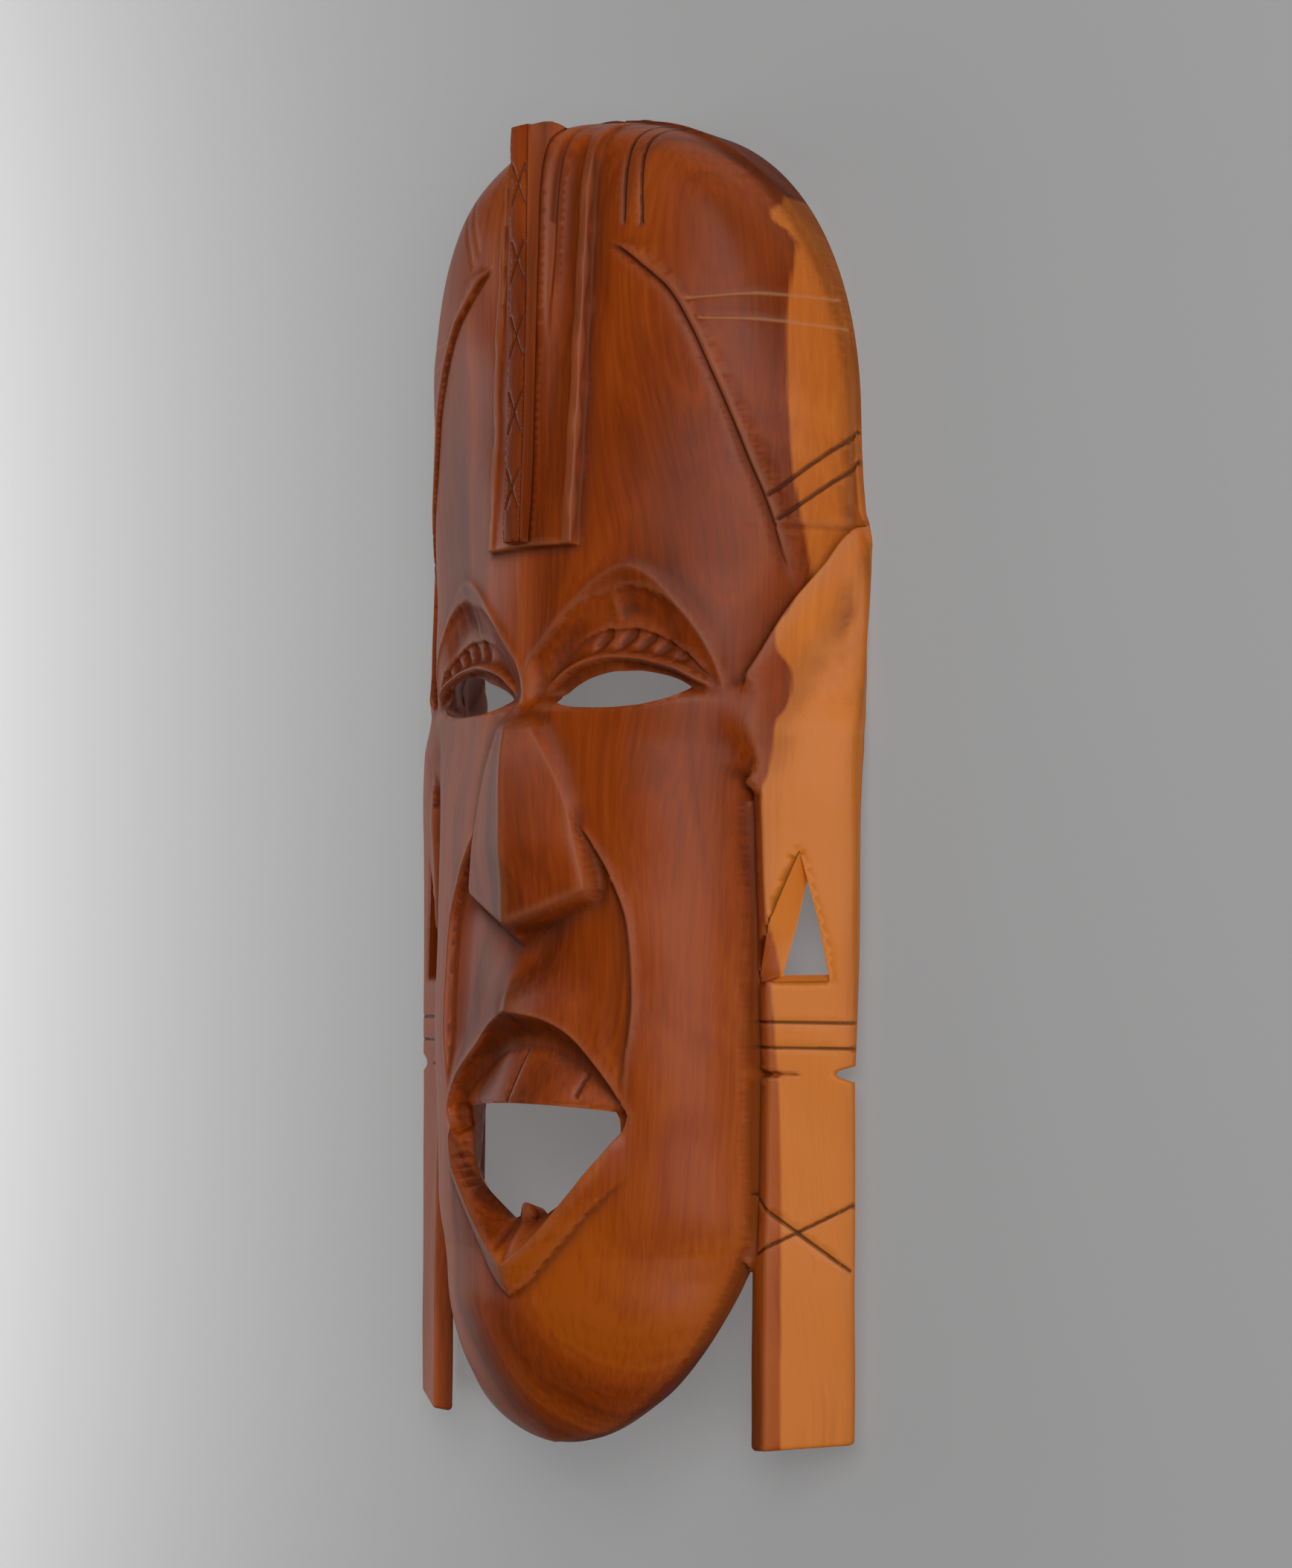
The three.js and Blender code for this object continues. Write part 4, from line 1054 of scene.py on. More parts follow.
@dataclass(frozen=True)
class Strokes:
    """Every engraved line of the head and the ears."""

    lines: tuple[Stroke, ...] = (
        Stroke(((34.2, 320.0), (35.4, 279.0)), 0.9, 0.8, (Side.RIGHT,)),
        Stroke(((39.2, 319.0), (42.7, 277.5)), 0.9, 0.8, (Side.RIGHT,)),
        Stroke(((-58.0, 306.5), (-45.0, 274.0)), 0.6, 0.7, (Side.RIGHT,), -0.5),
        Stroke(((-52.5, 311.0), (-41.0, 279.0)), 0.6, 0.7, (Side.RIGHT,), -0.5),
        Stroke(((61.4, 246.8), (82.9, 248.2), (103.0, 247.8)), 0.5, 0.7, tone=-0.7),
        Stroke(((66.0, 239.2), (84.0, 238.4), (104.0, 236.6)), 0.5, 0.7, tone=-0.7),
        Stroke(((107.4, 200.2), (86.3, 173.1)), 1.1, 0.85),
        Stroke(((107.4, 188.2), (88.6, 164.2)), 1.1, 0.85),
        Stroke(((78.6, -22.8), (110.8, -23.2)), 0.8, 0.7),
        Stroke(((78.6, -32.2), (110.8, -32.8)), 0.8, 0.7),
        Stroke(((78.4, -87.0), (110.0, -115.2)), 0.9, 0.8, (Side.RIGHT,)),
        Stroke(((80.4, -109.5), (110.8, -91.0)), 0.9, 0.8, (Side.RIGHT,)),
        Stroke(((0.3, -33.6), (-5.1, -53.0)), 0.8, 0.8, (Side.RIGHT,), 0.6),
        Stroke(((25.9, -43.2), (23.8, -50.9)), 1.3, 1.0, (Side.RIGHT,), 0.6),
    )

    def shape(self, z: np.ndarray, ax: np.ndarray, y: np.ndarray, x: np.ndarray) -> np.ndarray:
        """Cut every line.

        Args:
            z: Heights so far.
            ax: Distances from the middle line; not used.
            y: Places along.
            x: Places across.

        Returns:
            The new heights.
        """
        for line in self.lines:
            z = line.cut(z, x, y)
        return z

    def shade(self, x: np.ndarray, y: np.ndarray) -> np.ndarray:
        """Add up the painted shade and the pale raw wood that the lines give the wood's tone."""
        return np.clip(sum(line.shade(x, y) for line in self.lines), -1.0, 1.0)

    def guides(self) -> list[Guide]:
        """Rows along every line."""
        return [guide for line in self.lines for guide in line.guides()]


@dataclass(frozen=True)
class Outline:
    """The mask seen from the front: crown, ears with their notch, and the chin between them."""

    spacing: float = 1.15
    corner: float = 2.0

    def right_half(self, ear: Ear) -> list[tuple[float, float]]:
        """Corners of the right half, from the crown down and in to the chin.

        Args:
            ear: The ear, for its sizes.

        Returns:
            The corners.
        """
        crown = HEAD.crown(90, 4, 90)
        temple = [(HEAD.crown_half + 0.3, 192.0), (HEAD.crown_half + 1.0, 180.0), (107.8, 168.0),
                  (109.4, 163.5), (ear.outer_x - 0.4, 156.0), (ear.outer_x, 146.0)]
        notch = [(ear.outer_x, ear.notch_y + ear.notch_half),
                 (ear.outer_x - ear.notch_depth + 1.2, ear.notch_y + 1.3),
                 (ear.outer_x - ear.notch_depth, ear.notch_y),
                 (ear.outer_x - ear.notch_depth + 1.2, ear.notch_y - 1.1),
                 (ear.outer_x, ear.notch_y - ear.notch_half)]
        low = arc((ear.outer_x - self.corner, ear.bottom_outer_y + self.corner),
                  (self.corner, self.corner), 0, -85, 6)
        low += arc((ear.inner_x + self.corner, ear.bottom_inner_y + self.corner),
                   (self.corner, self.corner), -92, -180, 6)
        gap = [(ear.inner_x, ear.gap_y - 3.6), (ear.inner_x - 0.5, ear.gap_y - 1.2)]
        jaw = HEAD.jaw(ear.gap_y, 110)
        return crown + temple + notch + low + gap + jaw

    def points(self, ear: Ear) -> np.ndarray:
        """The whole outline, clockwise from the crown, with even spacing and every corner kept.

        Args:
            ear: The ear, for its sizes.

        Returns:
            Points round the outline.
        """
        half = np.array(self.right_half(ear), float)
        reach = np.concatenate([[0.0], np.cumsum(np.hypot(*np.diff(half, axis=0).T))])
        long_runs = [np.linspace(a, b, max(int(round((b - a) / self.spacing)), 1), endpoint=False)
                     for a, b in zip(reach, reach[1:]) if b - a > 0.4]
        at = np.concatenate(long_runs + [reach[-1:]])
        right = np.stack([np.interp(at, reach, half[:, 0]), np.interp(at, reach, half[:, 1])], axis=1)
        return np.vstack([right, mirrored(right)[1:-1]])


@dataclass(frozen=True)
class Back:
    """The hollowed back: plain, with a flat rim round it, and the undersides of the ears."""

    face_wall: float = 14.0
    bridge_thin: float = 5.0
    eye_thin: float = 6.0
    lip_thin: float = 6.0
    crown_rim: float = 13.5
    cheek_rim: float = 8.5
    jaw_rim: float = 15.0
    taper: float = 1.1
    edge_round: float = 9.0
    foot_x: float = 75.7
    foot_y: float = 40.0
    foot: Profile = Profile(((-186, 49), (-172, 46.9), (-162, 42.2), (-150, 38.8), (-138, 35),
                             (-113, 26), (-60, 18), (0, 8), (40, 0)))

    def rim(self, y: np.ndarray) -> np.ndarray:
        """Width of the flat rim: narrow along the cheeks, wider round the crown."""
        return mixed(self.cheek_rim, self.crown_rim, smooth(110.0, 170.0, y))

    def hollow_inside(self, ax: np.ndarray, y: np.ndarray) -> np.ndarray:
        """About the distance inside the edge of the hollow.

        Args:
            ax: Distances from the middle line.
            y: Places along.

        Returns:
            Distances, positive inside.
        """
        side = np.where(y > HEAD.crown_y, HEAD.crown_half, HEAD.half_width(y)) - self.rim(y)
        rise = HEAD.crown_rise - self.crown_rim
        drop = HEAD.jaw_drop - self.jaw_rim
        t = np.where(y > HEAD.crown_y, (y - HEAD.crown_y) / rise, np.maximum(HEAD.jaw_y - y, 0.0) / drop)
        power = np.where(y > HEAD.crown_y, HEAD.crown_power, 2.0)
        radius = ((ax / side) ** power + np.clip(t, 0.0, None) ** power) ** (1.0 / power)
        return (1.0 - radius) * np.minimum(side, 90.0)

    def height(self, x: np.ndarray, y: np.ndarray, ear: Ear) -> np.ndarray:
        """Height of the back surface above the plane that the mask lies on.

        Args:
            x: Places across.
            y: Places along.
            ear: The ear whose underside slopes as its front does.

        Returns:
            Heights, 0 on the rim.
        """
        ax = np.abs(x)
        rooted = smooth(ear.root_y - 40, ear.root_y, y)
        under = ear.under(ax, y) * (1.0 - rooted) * smooth(-1.0, 1.0, ax - self.foot_x)
        foot = self.foot(y) * smooth(1.0, -1.0, ax - self.foot_x) * (y < self.foot_y)
        bridge = self.bridge_thin * np.exp(-((ax / 20.0) ** 2) - (((y - 101.0) / 14.0) ** 2))
        thin = self.eye_thin * np.exp(-(((ax - 68.0) / 16.0) ** 2) - (((y - 103.0) / 18.0) ** 2))
        thin = thin + self.lip_thin * np.exp(-(((ax - 52.0) / 14.0) ** 2) - (((y + 68.0) / 16.0) ** 2))
        roof = HEAD.height(ax * self.taper, y) - self.face_wall + bridge + thin
        base = np.maximum(under, foot)
        inside = self.hollow_inside(ax, y)
        part = np.clip(inside / self.edge_round, 0.0, 1.0)
        hollow = roof * np.sqrt(part * (2.0 - part))
        return np.where(inside > 0, np.maximum(base, hollow), base)

    def guides(self, ear: Ear) -> list[Guide]:
        """The edge of the hollow and the step to the ears.

        Args:
            ear: The ear, for its sizes.

        Returns:
            The guides.
        """
        side_y = np.linspace(HEAD.crown_y, HEAD.jaw_y, 140)
        side = list(zip(HEAD.half_width(side_y) - self.rim(side_y), side_y))
        crown = HEAD.crown(90, 0, 80, self.crown_rim)
        radii = (HEAD.jaw_half - self.cheek_rim, HEAD.jaw_drop - self.jaw_rim)
        jaw = arc((0.0, HEAD.jaw_y), radii, 0, -90, 80)
        edge = resampled(np.array(crown + side + jaw), 2.0)
        step = resampled(np.array([[self.foot_x, ear.root_y], [self.foot_x, -118.0]]), 2.2)
        return [Guide(edge, (0.0, -0.7, 0.7, 2.0, 4.0, 7.0)), Guide(step, (0.0, -1.2, 1.2))]


class PointField:
    """Points kept a little apart, so that the triangles between them stay well shaped."""

    def __init__(self, cell: float) -> None:
        """Start empty, with cells at least as wide as the largest gap that will be asked for.

        Args:
            cell: Width of a cell.
        """
        self.cell = cell
        self.cells: dict[tuple[int, int], list[tuple[float, float]]] = {}
        self.kept: list[tuple[float, float]] = []

    def add(self, points: np.ndarray, gap: float) -> None:
        """Keep the points that are clear of all points kept before.

        Args:
            points: New points, in order of importance.
            gap: Least distance to a kept point.
        """
        limit = gap * gap
        for x, y in points.tolist():
            i, j = int(x // self.cell), int(y // self.cell)
            around = [(a, b) for a in (i - 1, i, i + 1) for b in (j - 1, j, j + 1)]
            near = (kept for cell in around for kept in self.cells.get(cell, ()))
            if all((x - px) ** 2 + (y - py) ** 2 >= limit for px, py in near):
                self.cells.setdefault((i, j), []).append((x, y))
                self.kept.append((x, y))


def within(points: np.ndarray, loops: Sequence[np.ndarray]) -> np.ndarray:
    """Tell which points lie inside the outline and outside every opening.

    Args:
        points: Points as rows of x and y.
        loops: The outline and the openings; which way round they run doesn't matter.

    Returns:
        True for each point that has wood under it.
    """
    crossed = np.zeros(len(points), bool)
    x, y = points.T
    for loop in loops:
        for (x0, y0), (x1, y1) in zip(loop.tolist(), np.roll(loop, -1, axis=0).tolist()):
            if y0 == y1:
                continue
            hit = (y0 > y) != (y1 > y)
            if hit.any():
                at = np.flatnonzero(hit)
                beyond = x[at] < x0 + (y[at] - y0) * (x1 - x0) / (y1 - y0)
                crossed[at[beyond]] ^= True
    return crossed


def hexagonal(box: tuple[float, float, float, float], spacing: float, seed: int) -> np.ndarray:
    """Fill a box with points in staggered rows, each moved a little.

    Args:
        box: Lowest and highest x, then lowest and highest y.
        spacing: Distance between neighbours.
        seed: Seed of the small moves.

    Returns:
        Points as rows of x and y.
    """
    x0, x1, y0, y1 = box
    rows = np.arange(y0, y1, spacing * math.sqrt(0.75))
    columns = np.arange(x0, x1, spacing)
    gx, gy = np.meshgrid(columns, rows)
    gx = gx + (np.arange(len(rows)) % 2)[:, None] * spacing / 2
    draw = np.random.default_rng(seed)
    points = np.stack([gx.ravel(), gy.ravel()], axis=1)
    return points + draw.uniform(-0.12, 0.12, points.shape) * spacing


class Sheet:
    """A triangulated sheet over the plan, bounded by closed loops of points."""

    def __init__(self, loops: Sequence[np.ndarray], inner: np.ndarray) -> None:
        """Join loops and inner points with triangles.

        Args:
            loops: The outline and the openings.
            inner: Points between them.
        """
        sizes = [len(loop) for loop in loops]
        starts = np.concatenate([[0], np.cumsum(sizes)])
        edges = [(int(s + k), int(s + (k + 1) % n)) for s, n in zip(starts, sizes) for k in range(n)]
        rim = int(starts[-1])
        given = np.vstack([*loops, inner])
        made = delaunay_2d_cdt([Vector(p) for p in given], edges, [], 0, 1e-7, True)
        origin = made[3]
        place = {source: k for k, sources in enumerate(origin) for source in sources}
        faces = np.array(made[2], int)
        self.points = np.array([tuple(v) for v in made[0]], float)
        number = np.array([place[k] for k in range(rim)])
        self.loops = [number[a:b] for a, b in zip(starts, starts[1:])]
        on_rim = np.zeros(len(self.points), bool)
        on_rim[number] = True
        doubtful = on_rim[faces].all(axis=1)
        centres = self.points[faces[doubtful]].mean(axis=1)
        keep = np.ones(len(faces), bool)
        keep[np.flatnonzero(doubtful)] = within(centres, loops)
        a, b, c = (self.points[faces[:, k]] for k in range(3))
        area = (b[:, 0] - a[:, 0]) * (c[:, 1] - a[:, 1]) - (b[:, 1] - a[:, 1]) * (c[:, 0] - a[:, 0])
        faces[area < 0] = faces[area < 0][:, ::-1]
        self.faces = faces[keep & (np.abs(area) > 1e-9)]


def edge_distance(points: np.ndarray, loops: Sequence[np.ndarray]) -> np.ndarray:
    """Measure how far points lie from the nearest loop.

    Args:
        points: Points as rows of x and y.
        loops: Closed loops of points.

    Returns:
        The distance of each point.
    """
    fine = np.vstack([ring(loop, 0.15) for loop in loops])
    tree = KDTree(len(fine))
    for k, (x, y) in enumerate(fine.tolist()):
        tree.insert((x, y, 0.0), k)
    tree.balance()
    return np.array([tree.find((x, y, 0.0))[2] for x, y in points.tolist()])


@dataclass(frozen=True)
class Comb:
    """The tall thin comb that stands on the panel, with crosses cut along its front."""

    half_width: float = 4.4
    front_half: float = 4.1
    bottom_y: float = 158.0
    top_y: float = 317.0
    foot_y: float = 319.5
    peak_y: float = 321.5
    peak_z: float = 69.5
    spacing: float = 1.2
    crosses: tuple[float, ...] = (178.5, 207.5, 236.5, 265.5, 294.5)
    cross_half: float = 7.2
    cross_reach: float = 2.9
    scallop: float = 0.8
    arm_depth: float = 0.6
    arm_half: float = 0.5
    # Painted shade in the cut arms of the crosses.
    arm_tone: float = 0.8
    steps: tuple[float, ...] = (0.06, 0.2, 0.4, 0.6, 0.78, 0.92, 0.98)
    top: Profile = Profile(((158, 79.6), (170, 79.4), (202, 77.8), (224, 77.1), (240, 76.5), (278, 75.8),
                            (317, 75.2)))

    def foot(self) -> np.ndarray:
        """The closed edge where the comb meets the panel, counter-clockwise."""
        return ring(((-self.half_width, self.bottom_y), (self.half_width, self.bottom_y),
                     (self.half_width, self.foot_y), (-self.half_width, self.foot_y)), self.spacing)

    def edge(self, foot: np.ndarray) -> np.ndarray:
        """The matching edge of the front face, scalloped along its left side.

        Args:
            foot: Points round the comb's foot.

        Returns:
            The same points on the front face.
        """
        t = (foot[:, 1] - self.bottom_y) / (self.foot_y - self.bottom_y)
        y = self.bottom_y + 0.4 + t * (self.top_y - self.bottom_y - 0.8)
        pitch = self.crosses[1] - self.crosses[0]
        wave = 0.5 + 0.5 * np.cos(2 * math.pi * (y - self.crosses[0] - pitch / 2) / pitch)
        x = foot[:, 0] * self.front_half / self.half_width
        return np.stack([x - self.scallop * wave**1.5 * (foot[:, 0] < 0), y], axis=1)

    def front(self, x: np.ndarray, y: np.ndarray) -> np.ndarray:
        """Height of the front face with its crosses.

        Args:
            x: Places across.
            y: Places along.

        Returns:
            Heights.
        """
        z = self.top(y) - 0.02 * x**2
        for centre in self.crosses:
            for lean in (-1.0, 1.0):
                z = self._arm(centre, lean).cut(z, x, y)
        return z

    def _arm(self, centre: float, lean: float) -> Stroke:
        """One arm of a cross.

        Args:
            centre: Where the cross is, along the comb.
            lean: 1 for the arm that rises to the right, -1 for the other.

        Returns:
            The arm as a stroke.
        """
        foot = (-self.cross_reach * lean, centre - self.cross_half)
        path = (foot, (-foot[0], centre + self.cross_half))
        return Stroke(path, self.arm_depth, self.arm_half, (Side.RIGHT,), self.arm_tone)

    def shade(self, x: np.ndarray, y: np.ndarray) -> np.ndarray:
        """Tell how much painted shade the cut arms of the crosses give the front face."""
        arms = [self._arm(centre, lean).shade(x, y) for centre in self.crosses for lean in (-1.0, 1.0)]
        return np.clip(sum(arms), 0.0, 1.0)

    def guides(self) -> list[Guide]:
        """Rows along the arms of every cross.

        Returns:
            The guides.
        """
        found = []
        for centre in self.crosses:
            for lean in (-1.0, 1.0):
                arm = np.array(self._arm(centre, lean).path)
                found.append(Guide(resampled(arm, 0.9), (0.0, -0.4, 0.4), both_sides=False))
        return found


class MaskMesh:
    """Puts the carved front, the hollow back and the walls between them together as one closed mesh."""

    plan = (-112.0, 112.0, -188.0, 330.0)
    fine_zone = (-78.0, 78.0, -130.0, 152.0)
    fine_spacing = 1.45
    plain_spacing = 2.0
    back_spacing = 4.5
    slot_spacing = 1.0
    row_gap = 0.42
    edge_rows = (0.45, 1.0, 1.8, 3.0, 4.6)
    hole_rows = (-0.5, -1.2)
    back_rows = (1.2, 3.0)
    hole_steps = (0.06, 0.14, 0.3, 0.5, 0.7, 0.86, 0.95)
    outline_steps = (0.1, 0.3, 0.7, 0.9)
    rounding = 1.1
    unevenness = 0.28

    def __init__(self) -> None:
        """Gather the carved forms."""
        self.eye = Eye()
        self.mouth = Mouth()
        self.ear = Ear()
        self.back = Back()
        self.comb = Comb()
        self.strokes = Strokes()
        self.parts = [Crest(), Hair(), Cheeks(), self.mouth, self.eye, Nose(), self.ear, self.strokes]
        self.uneven = Wobble(11, 26.0, 80.0)

    def height(self, x: np.ndarray, y: np.ndarray) -> np.ndarray:
        """Height of the carved front.

        Args:
            x: Places across.
            y: Places along.

        Returns:
            Heights in millimetres.
        """
        ax = np.abs(x)
        z = HEAD.height(ax, y)
        for part in self.parts:
            z = part.shape(z, ax, y, x)
        return z + self.unevenness * self.uneven(x, y)

    def openings(self) -> list[tuple[np.ndarray, np.ndarray]]:
        """Edges of every opening, in front and at the back.

        Returns:
            Pairs of edges.
        """
        mouth = self.mouth.opening()
        mouth_back = self.mouth.rear(mouth)
        slot = ring(self.ear.slot(False), self.slot_spacing)
        slot_back = self._matched(self.ear.slot(False), self.ear.slot(True))
        right, left = self.eye.opening(Side.RIGHT), self.eye.opening(Side.LEFT)
        return [(mouth, mouth_back), (right, self.eye.rear(right)),
                (mirrored(left), mirrored(self.eye.rear(left))),
                (slot, slot_back), (mirrored(slot), mirrored(slot_back))]

    def _matched(self, corners: np.ndarray, targets: np.ndarray) -> np.ndarray:
        """Walk round a second polygon in as many steps as a first one, corner for corner.

        Args:
            corners: Corners of the polygon that sets the steps.
            targets: Corners of the polygon that is walked.

        Returns:
            Points round the second polygon.
        """
        counts = [max(int(round(math.dist(a, b) / self.slot_spacing)), 1)
                  for a, b in zip(corners.tolist(), np.roll(corners, -1, axis=0).tolist())]
        found = []
        for count, a, b in zip(counts, targets, np.roll(targets, -1, axis=0)):
            found.append(a + (b - a) * np.linspace(0, 1, count, endpoint=False)[:, None])
        return np.vstack(found)

    def inner_points(self, loops: Sequence[np.ndarray], guides: Sequence[Guide]) -> np.ndarray:
        """Points of the front: rows along the carving, then a finer and a plainer field.

        Args:
            loops: The outline and the openings.
            guides: Lines that the mesh follows.

        Returns:
            Points as rows of x and y.
        """
        points = PointField(1.4)
        points.add(np.vstack(loops), 0.0)
        rim = len(points.kept)
        outline = loops[0]
        for offset in self.edge_rows:
            points.add(self._inset(outline, offset), self.row_gap)
        for hole in loops[1:]:
            for offset in self.hole_rows:
                points.add(self._inset(hole, offset), self.row_gap)
        for index in range(max(len(guide.offsets) for guide in guides)):
            for guide in guides:
                if index < len(guide.offsets):
                    rows = Guide(guide.path, (guide.offsets[index],), guide.both_sides)
                    for row in rows.rows():
                        points.add(row, self.row_gap)
        points.add(hexagonal(self.fine_zone, self.fine_spacing, 5), 0.9)
        points.add(hexagonal(self.plan, self.plain_spacing, 6), 1.3)
        found = np.array(points.kept[rim:])
        return found[within(found, loops)]

    @staticmethod
    def _inset(loop: np.ndarray, offset: float) -> np.ndarray:
        """Move a loop's points sideways, inwards for a loop that runs clockwise.

        Args:
            loop: Points round a loop.
            offset: How far to move them.

        Returns:
            The moved points.
        """
        run = np.roll(loop, -1, axis=0) - np.roll(loop, 1, axis=0)
        normal = np.stack([run[:, 1], -run[:, 0]], axis=1) / np.hypot(*run.T)[:, None]
        return loop + offset * normal

    def build(self) -> tuple[np.ndarray, np.ndarray]:
        """Make the whole closed mesh.

        Returns:
            Vertices in millimetres on the plan's frame, and triangles as rows of three numbers.
        """
        outline = Outline().points(self.ear)
        holes = self.openings()
        foot = self.comb.foot()
        front_loops = [outline, *[front for front, _ in holes], foot]
        guides = [guide for part in self.parts for guide in part.guides()]
        front = Sheet(front_loops, self.inner_points(front_loops, guides))
        back_loops = [self.ear.rear(outline), *[rear for _, rear in holes]]
        rear = Sheet(back_loops, self._back_points(back_loops))
        front_z = self.height(*front.points.T)
        rounded_by = edge_distance(front.points, front_loops[:-1])
        near = np.clip(1.0 - rounded_by / self.rounding, 0.0, 1.0)
        front_z = front_z - self.rounding * (1.0 - np.sqrt(1.0 - near**2)) * 0.8
        rear_z = self.back.height(*rear.points.T, self.ear)
        vertices = [np.column_stack([front.points, front_z]), np.column_stack([rear.points, rear_z])]
        shift = len(front.points)
        faces = [front.faces, rear.faces[:, ::-1] + shift]
        count = shift + len(rear.points)
        for k, loop in enumerate(rear.loops):
            top = front.loops[k]
            bottom = loop + shift
            steps = self.hole_steps if k else self.outline_steps
            rows, made = self._wall(np.vstack(vertices), top, bottom, steps, count)
            vertices.append(rows)
            faces.append(made)
            count += len(rows)
        rows, made = self._comb(np.vstack(vertices), front.loops[-1], count)
        vertices.append(rows)
        faces.append(made)
        return np.vstack(vertices), np.vstack(faces)

    def _back_points(self, loops: Sequence[np.ndarray]) -> np.ndarray:
        """Points of the plainer back.

        Args:
            loops: The outline and the openings.

        Returns:
            Points as rows of x and y.
        """
        points = PointField(4.0)
        points.add(np.vstack(loops), 0.0)
        rim = len(points.kept)
        for offset in self.back_rows:
            points.add(self._inset(loops[0], offset)[::2], 1.0)
        for guide in self.back.guides(self.ear):
            for row in guide.rows():
                points.add(row, 0.6)
        points.add(hexagonal(self.plan, self.back_spacing, 8), 2.6)
        found = np.array(points.kept[rim:])
        return found[within(found, loops)]

    @staticmethod
    def _strip(upper: np.ndarray, lower: np.ndarray) -> np.ndarray:
        """Join two rings of as many points with triangles, facing out where the upper runs clockwise.

        Args:
            upper: Numbers of one ring's points.
            lower: Numbers of the other ring's points.

        Returns:
            Triangles.
        """
        u1, l1 = np.roll(upper, -1), np.roll(lower, -1)
        first = np.stack([upper, u1, lower], axis=1)
        second = np.stack([u1, l1, lower], axis=1)
        return np.vstack([first, second])

    def _wall(self, vertices: np.ndarray, top: np.ndarray, bottom: np.ndarray, steps: Sequence[float],
              count: int) -> tuple[np.ndarray, np.ndarray]:
        """Build the wall between a front edge and a back edge.

        Args:
            vertices: All vertices so far.
            top: Numbers of the front edge's points.
            bottom: Numbers of the back edge's points.
            steps: Where the rings between them stand, as parts of the way down.
            count: Number that the first new vertex gets.

        Returns:
            The new vertices and the wall's triangles.
        """
        high, low = vertices[top], vertices[bottom]
        rings = [high + (low - high) * step for step in steps]
        numbers = [top]
        for k in range(len(steps)):
            numbers.append(count + k * len(top) + np.arange(len(top)))
        numbers.append(bottom)
        made = [self._strip(a, b) for a, b in zip(numbers, numbers[1:])]
        faces = np.vstack(made)
        if not self._clockwise(high[:, :2]):
            faces = faces[:, ::-1]
        return np.vstack(rings), faces

    @staticmethod
    def _clockwise(loop: np.ndarray) -> bool:
        """Tell whether a loop runs clockwise, seen from the front."""
        nxt = np.roll(loop, -1, axis=0)
        return float(np.sum(loop[:, 0] * nxt[:, 1] - nxt[:, 0] * loop[:, 1])) < 0

    def _comb(self, vertices: np.ndarray, foot: np.ndarray, count: int) -> tuple[np.ndarray, np.ndarray]:
        """Build the comb on its foot: walls that lean to the peak, and the front face with its crosses.

        Args:
            vertices: All vertices so far.
            foot: Numbers of the foot's points.
            count: Number that the first new vertex gets.

        Returns:
            The new vertices and the triangles.
        """
        comb = self.comb
        base = vertices[foot]
        edge = comb.edge(base[:, :2])
        points = PointField(1.2)
        points.add(edge, 0.0)
        rim = len(points.kept)
        for guide in comb.guides():
            for row in guide.rows():
                points.add(row, 0.35)
        box = (-comb.half_width - 1.0, comb.half_width, comb.bottom_y, comb.top_y)
        points.add(hexagonal(box, 1.1, 9), 0.6)
        inner = np.array(points.kept[rim:])
        inner = inner[within(inner, [edge])]
        cap = Sheet([edge], inner)
        cap_z = comb.front(*cap.points.T)
        cap_points = np.column_stack([cap.points, cap_z])
        drop = edge_distance(cap.points, [edge])
        cap_points[:, 2] -= 0.45 * (1.0 - smooth(0.0, 0.7, drop))
        t = (base[:, 1] - comb.bottom_y) / (comb.foot_y - comb.bottom_y)
        rings = []
        numbers = [foot]
        top = cap_points[cap.loops[0]]
        for k, part in enumerate(comb.steps):
            row = base + (top - base) * part
            lean = math.sin(math.pi * min(part / 0.85, 1.0)) if part < 0.85 else 0.0
            row[:, 1] += (comb.peak_y - comb.foot_y) * lean * smooth(0.97, 1.0, t)
            square = min(part * 1.6, 1.0) if part < 0.9 else (1.0 - part) * 10.0
            row[:, 0] = mixed(row[:, 0], base[:, 0], square)
            rings.append(row)
            numbers.append(count + k * len(foot) + np.arange(len(foot)))
        start = count + len(rings) * len(foot)
        numbers.append(cap.loops[0] + start)
        walls = np.vstack([self._strip(a, b) for a, b in zip(numbers, numbers[1:])])
        if self._clockwise(base[:, :2]):
            walls = walls[:, ::-1]
        return np.vstack([*rings, cap_points]), np.vstack([walls[:, ::-1], cap.faces + start])


@dataclass
class Marks:
    """Measures of the carving that the finish reads: how sharp (for a painted highlight, partly wear), how
    sunken (for painted shade) and how cut each point is.
    """

    worn_edge_highlight: np.ndarray
    shaded_recess: np.ndarray
    cut: np.ndarray


def blurred(grid: np.ndarray, reach: float) -> np.ndarray:
    """Blur a grid of heights with a bell curve.

    Args:
        grid: Heights in rows and columns.
        reach: Half-width of the bell, in cells.

    Returns:
        The blurred grid.
    """
    span = int(math.ceil(3 * reach))
    bell = np.exp(-0.5 * (np.arange(-span, span + 1) / reach) ** 2)
    bell /= bell.sum()
    for axis in (0, 1):
        padded = np.pad(grid, [(span, span) if k == axis else (0, 0) for k in (0, 1)], mode="edge")
        size = grid.shape[axis]
        grid = sum(weight * np.take(padded, np.arange(k, k + size), axis) for k, weight in enumerate(bell))
    return grid


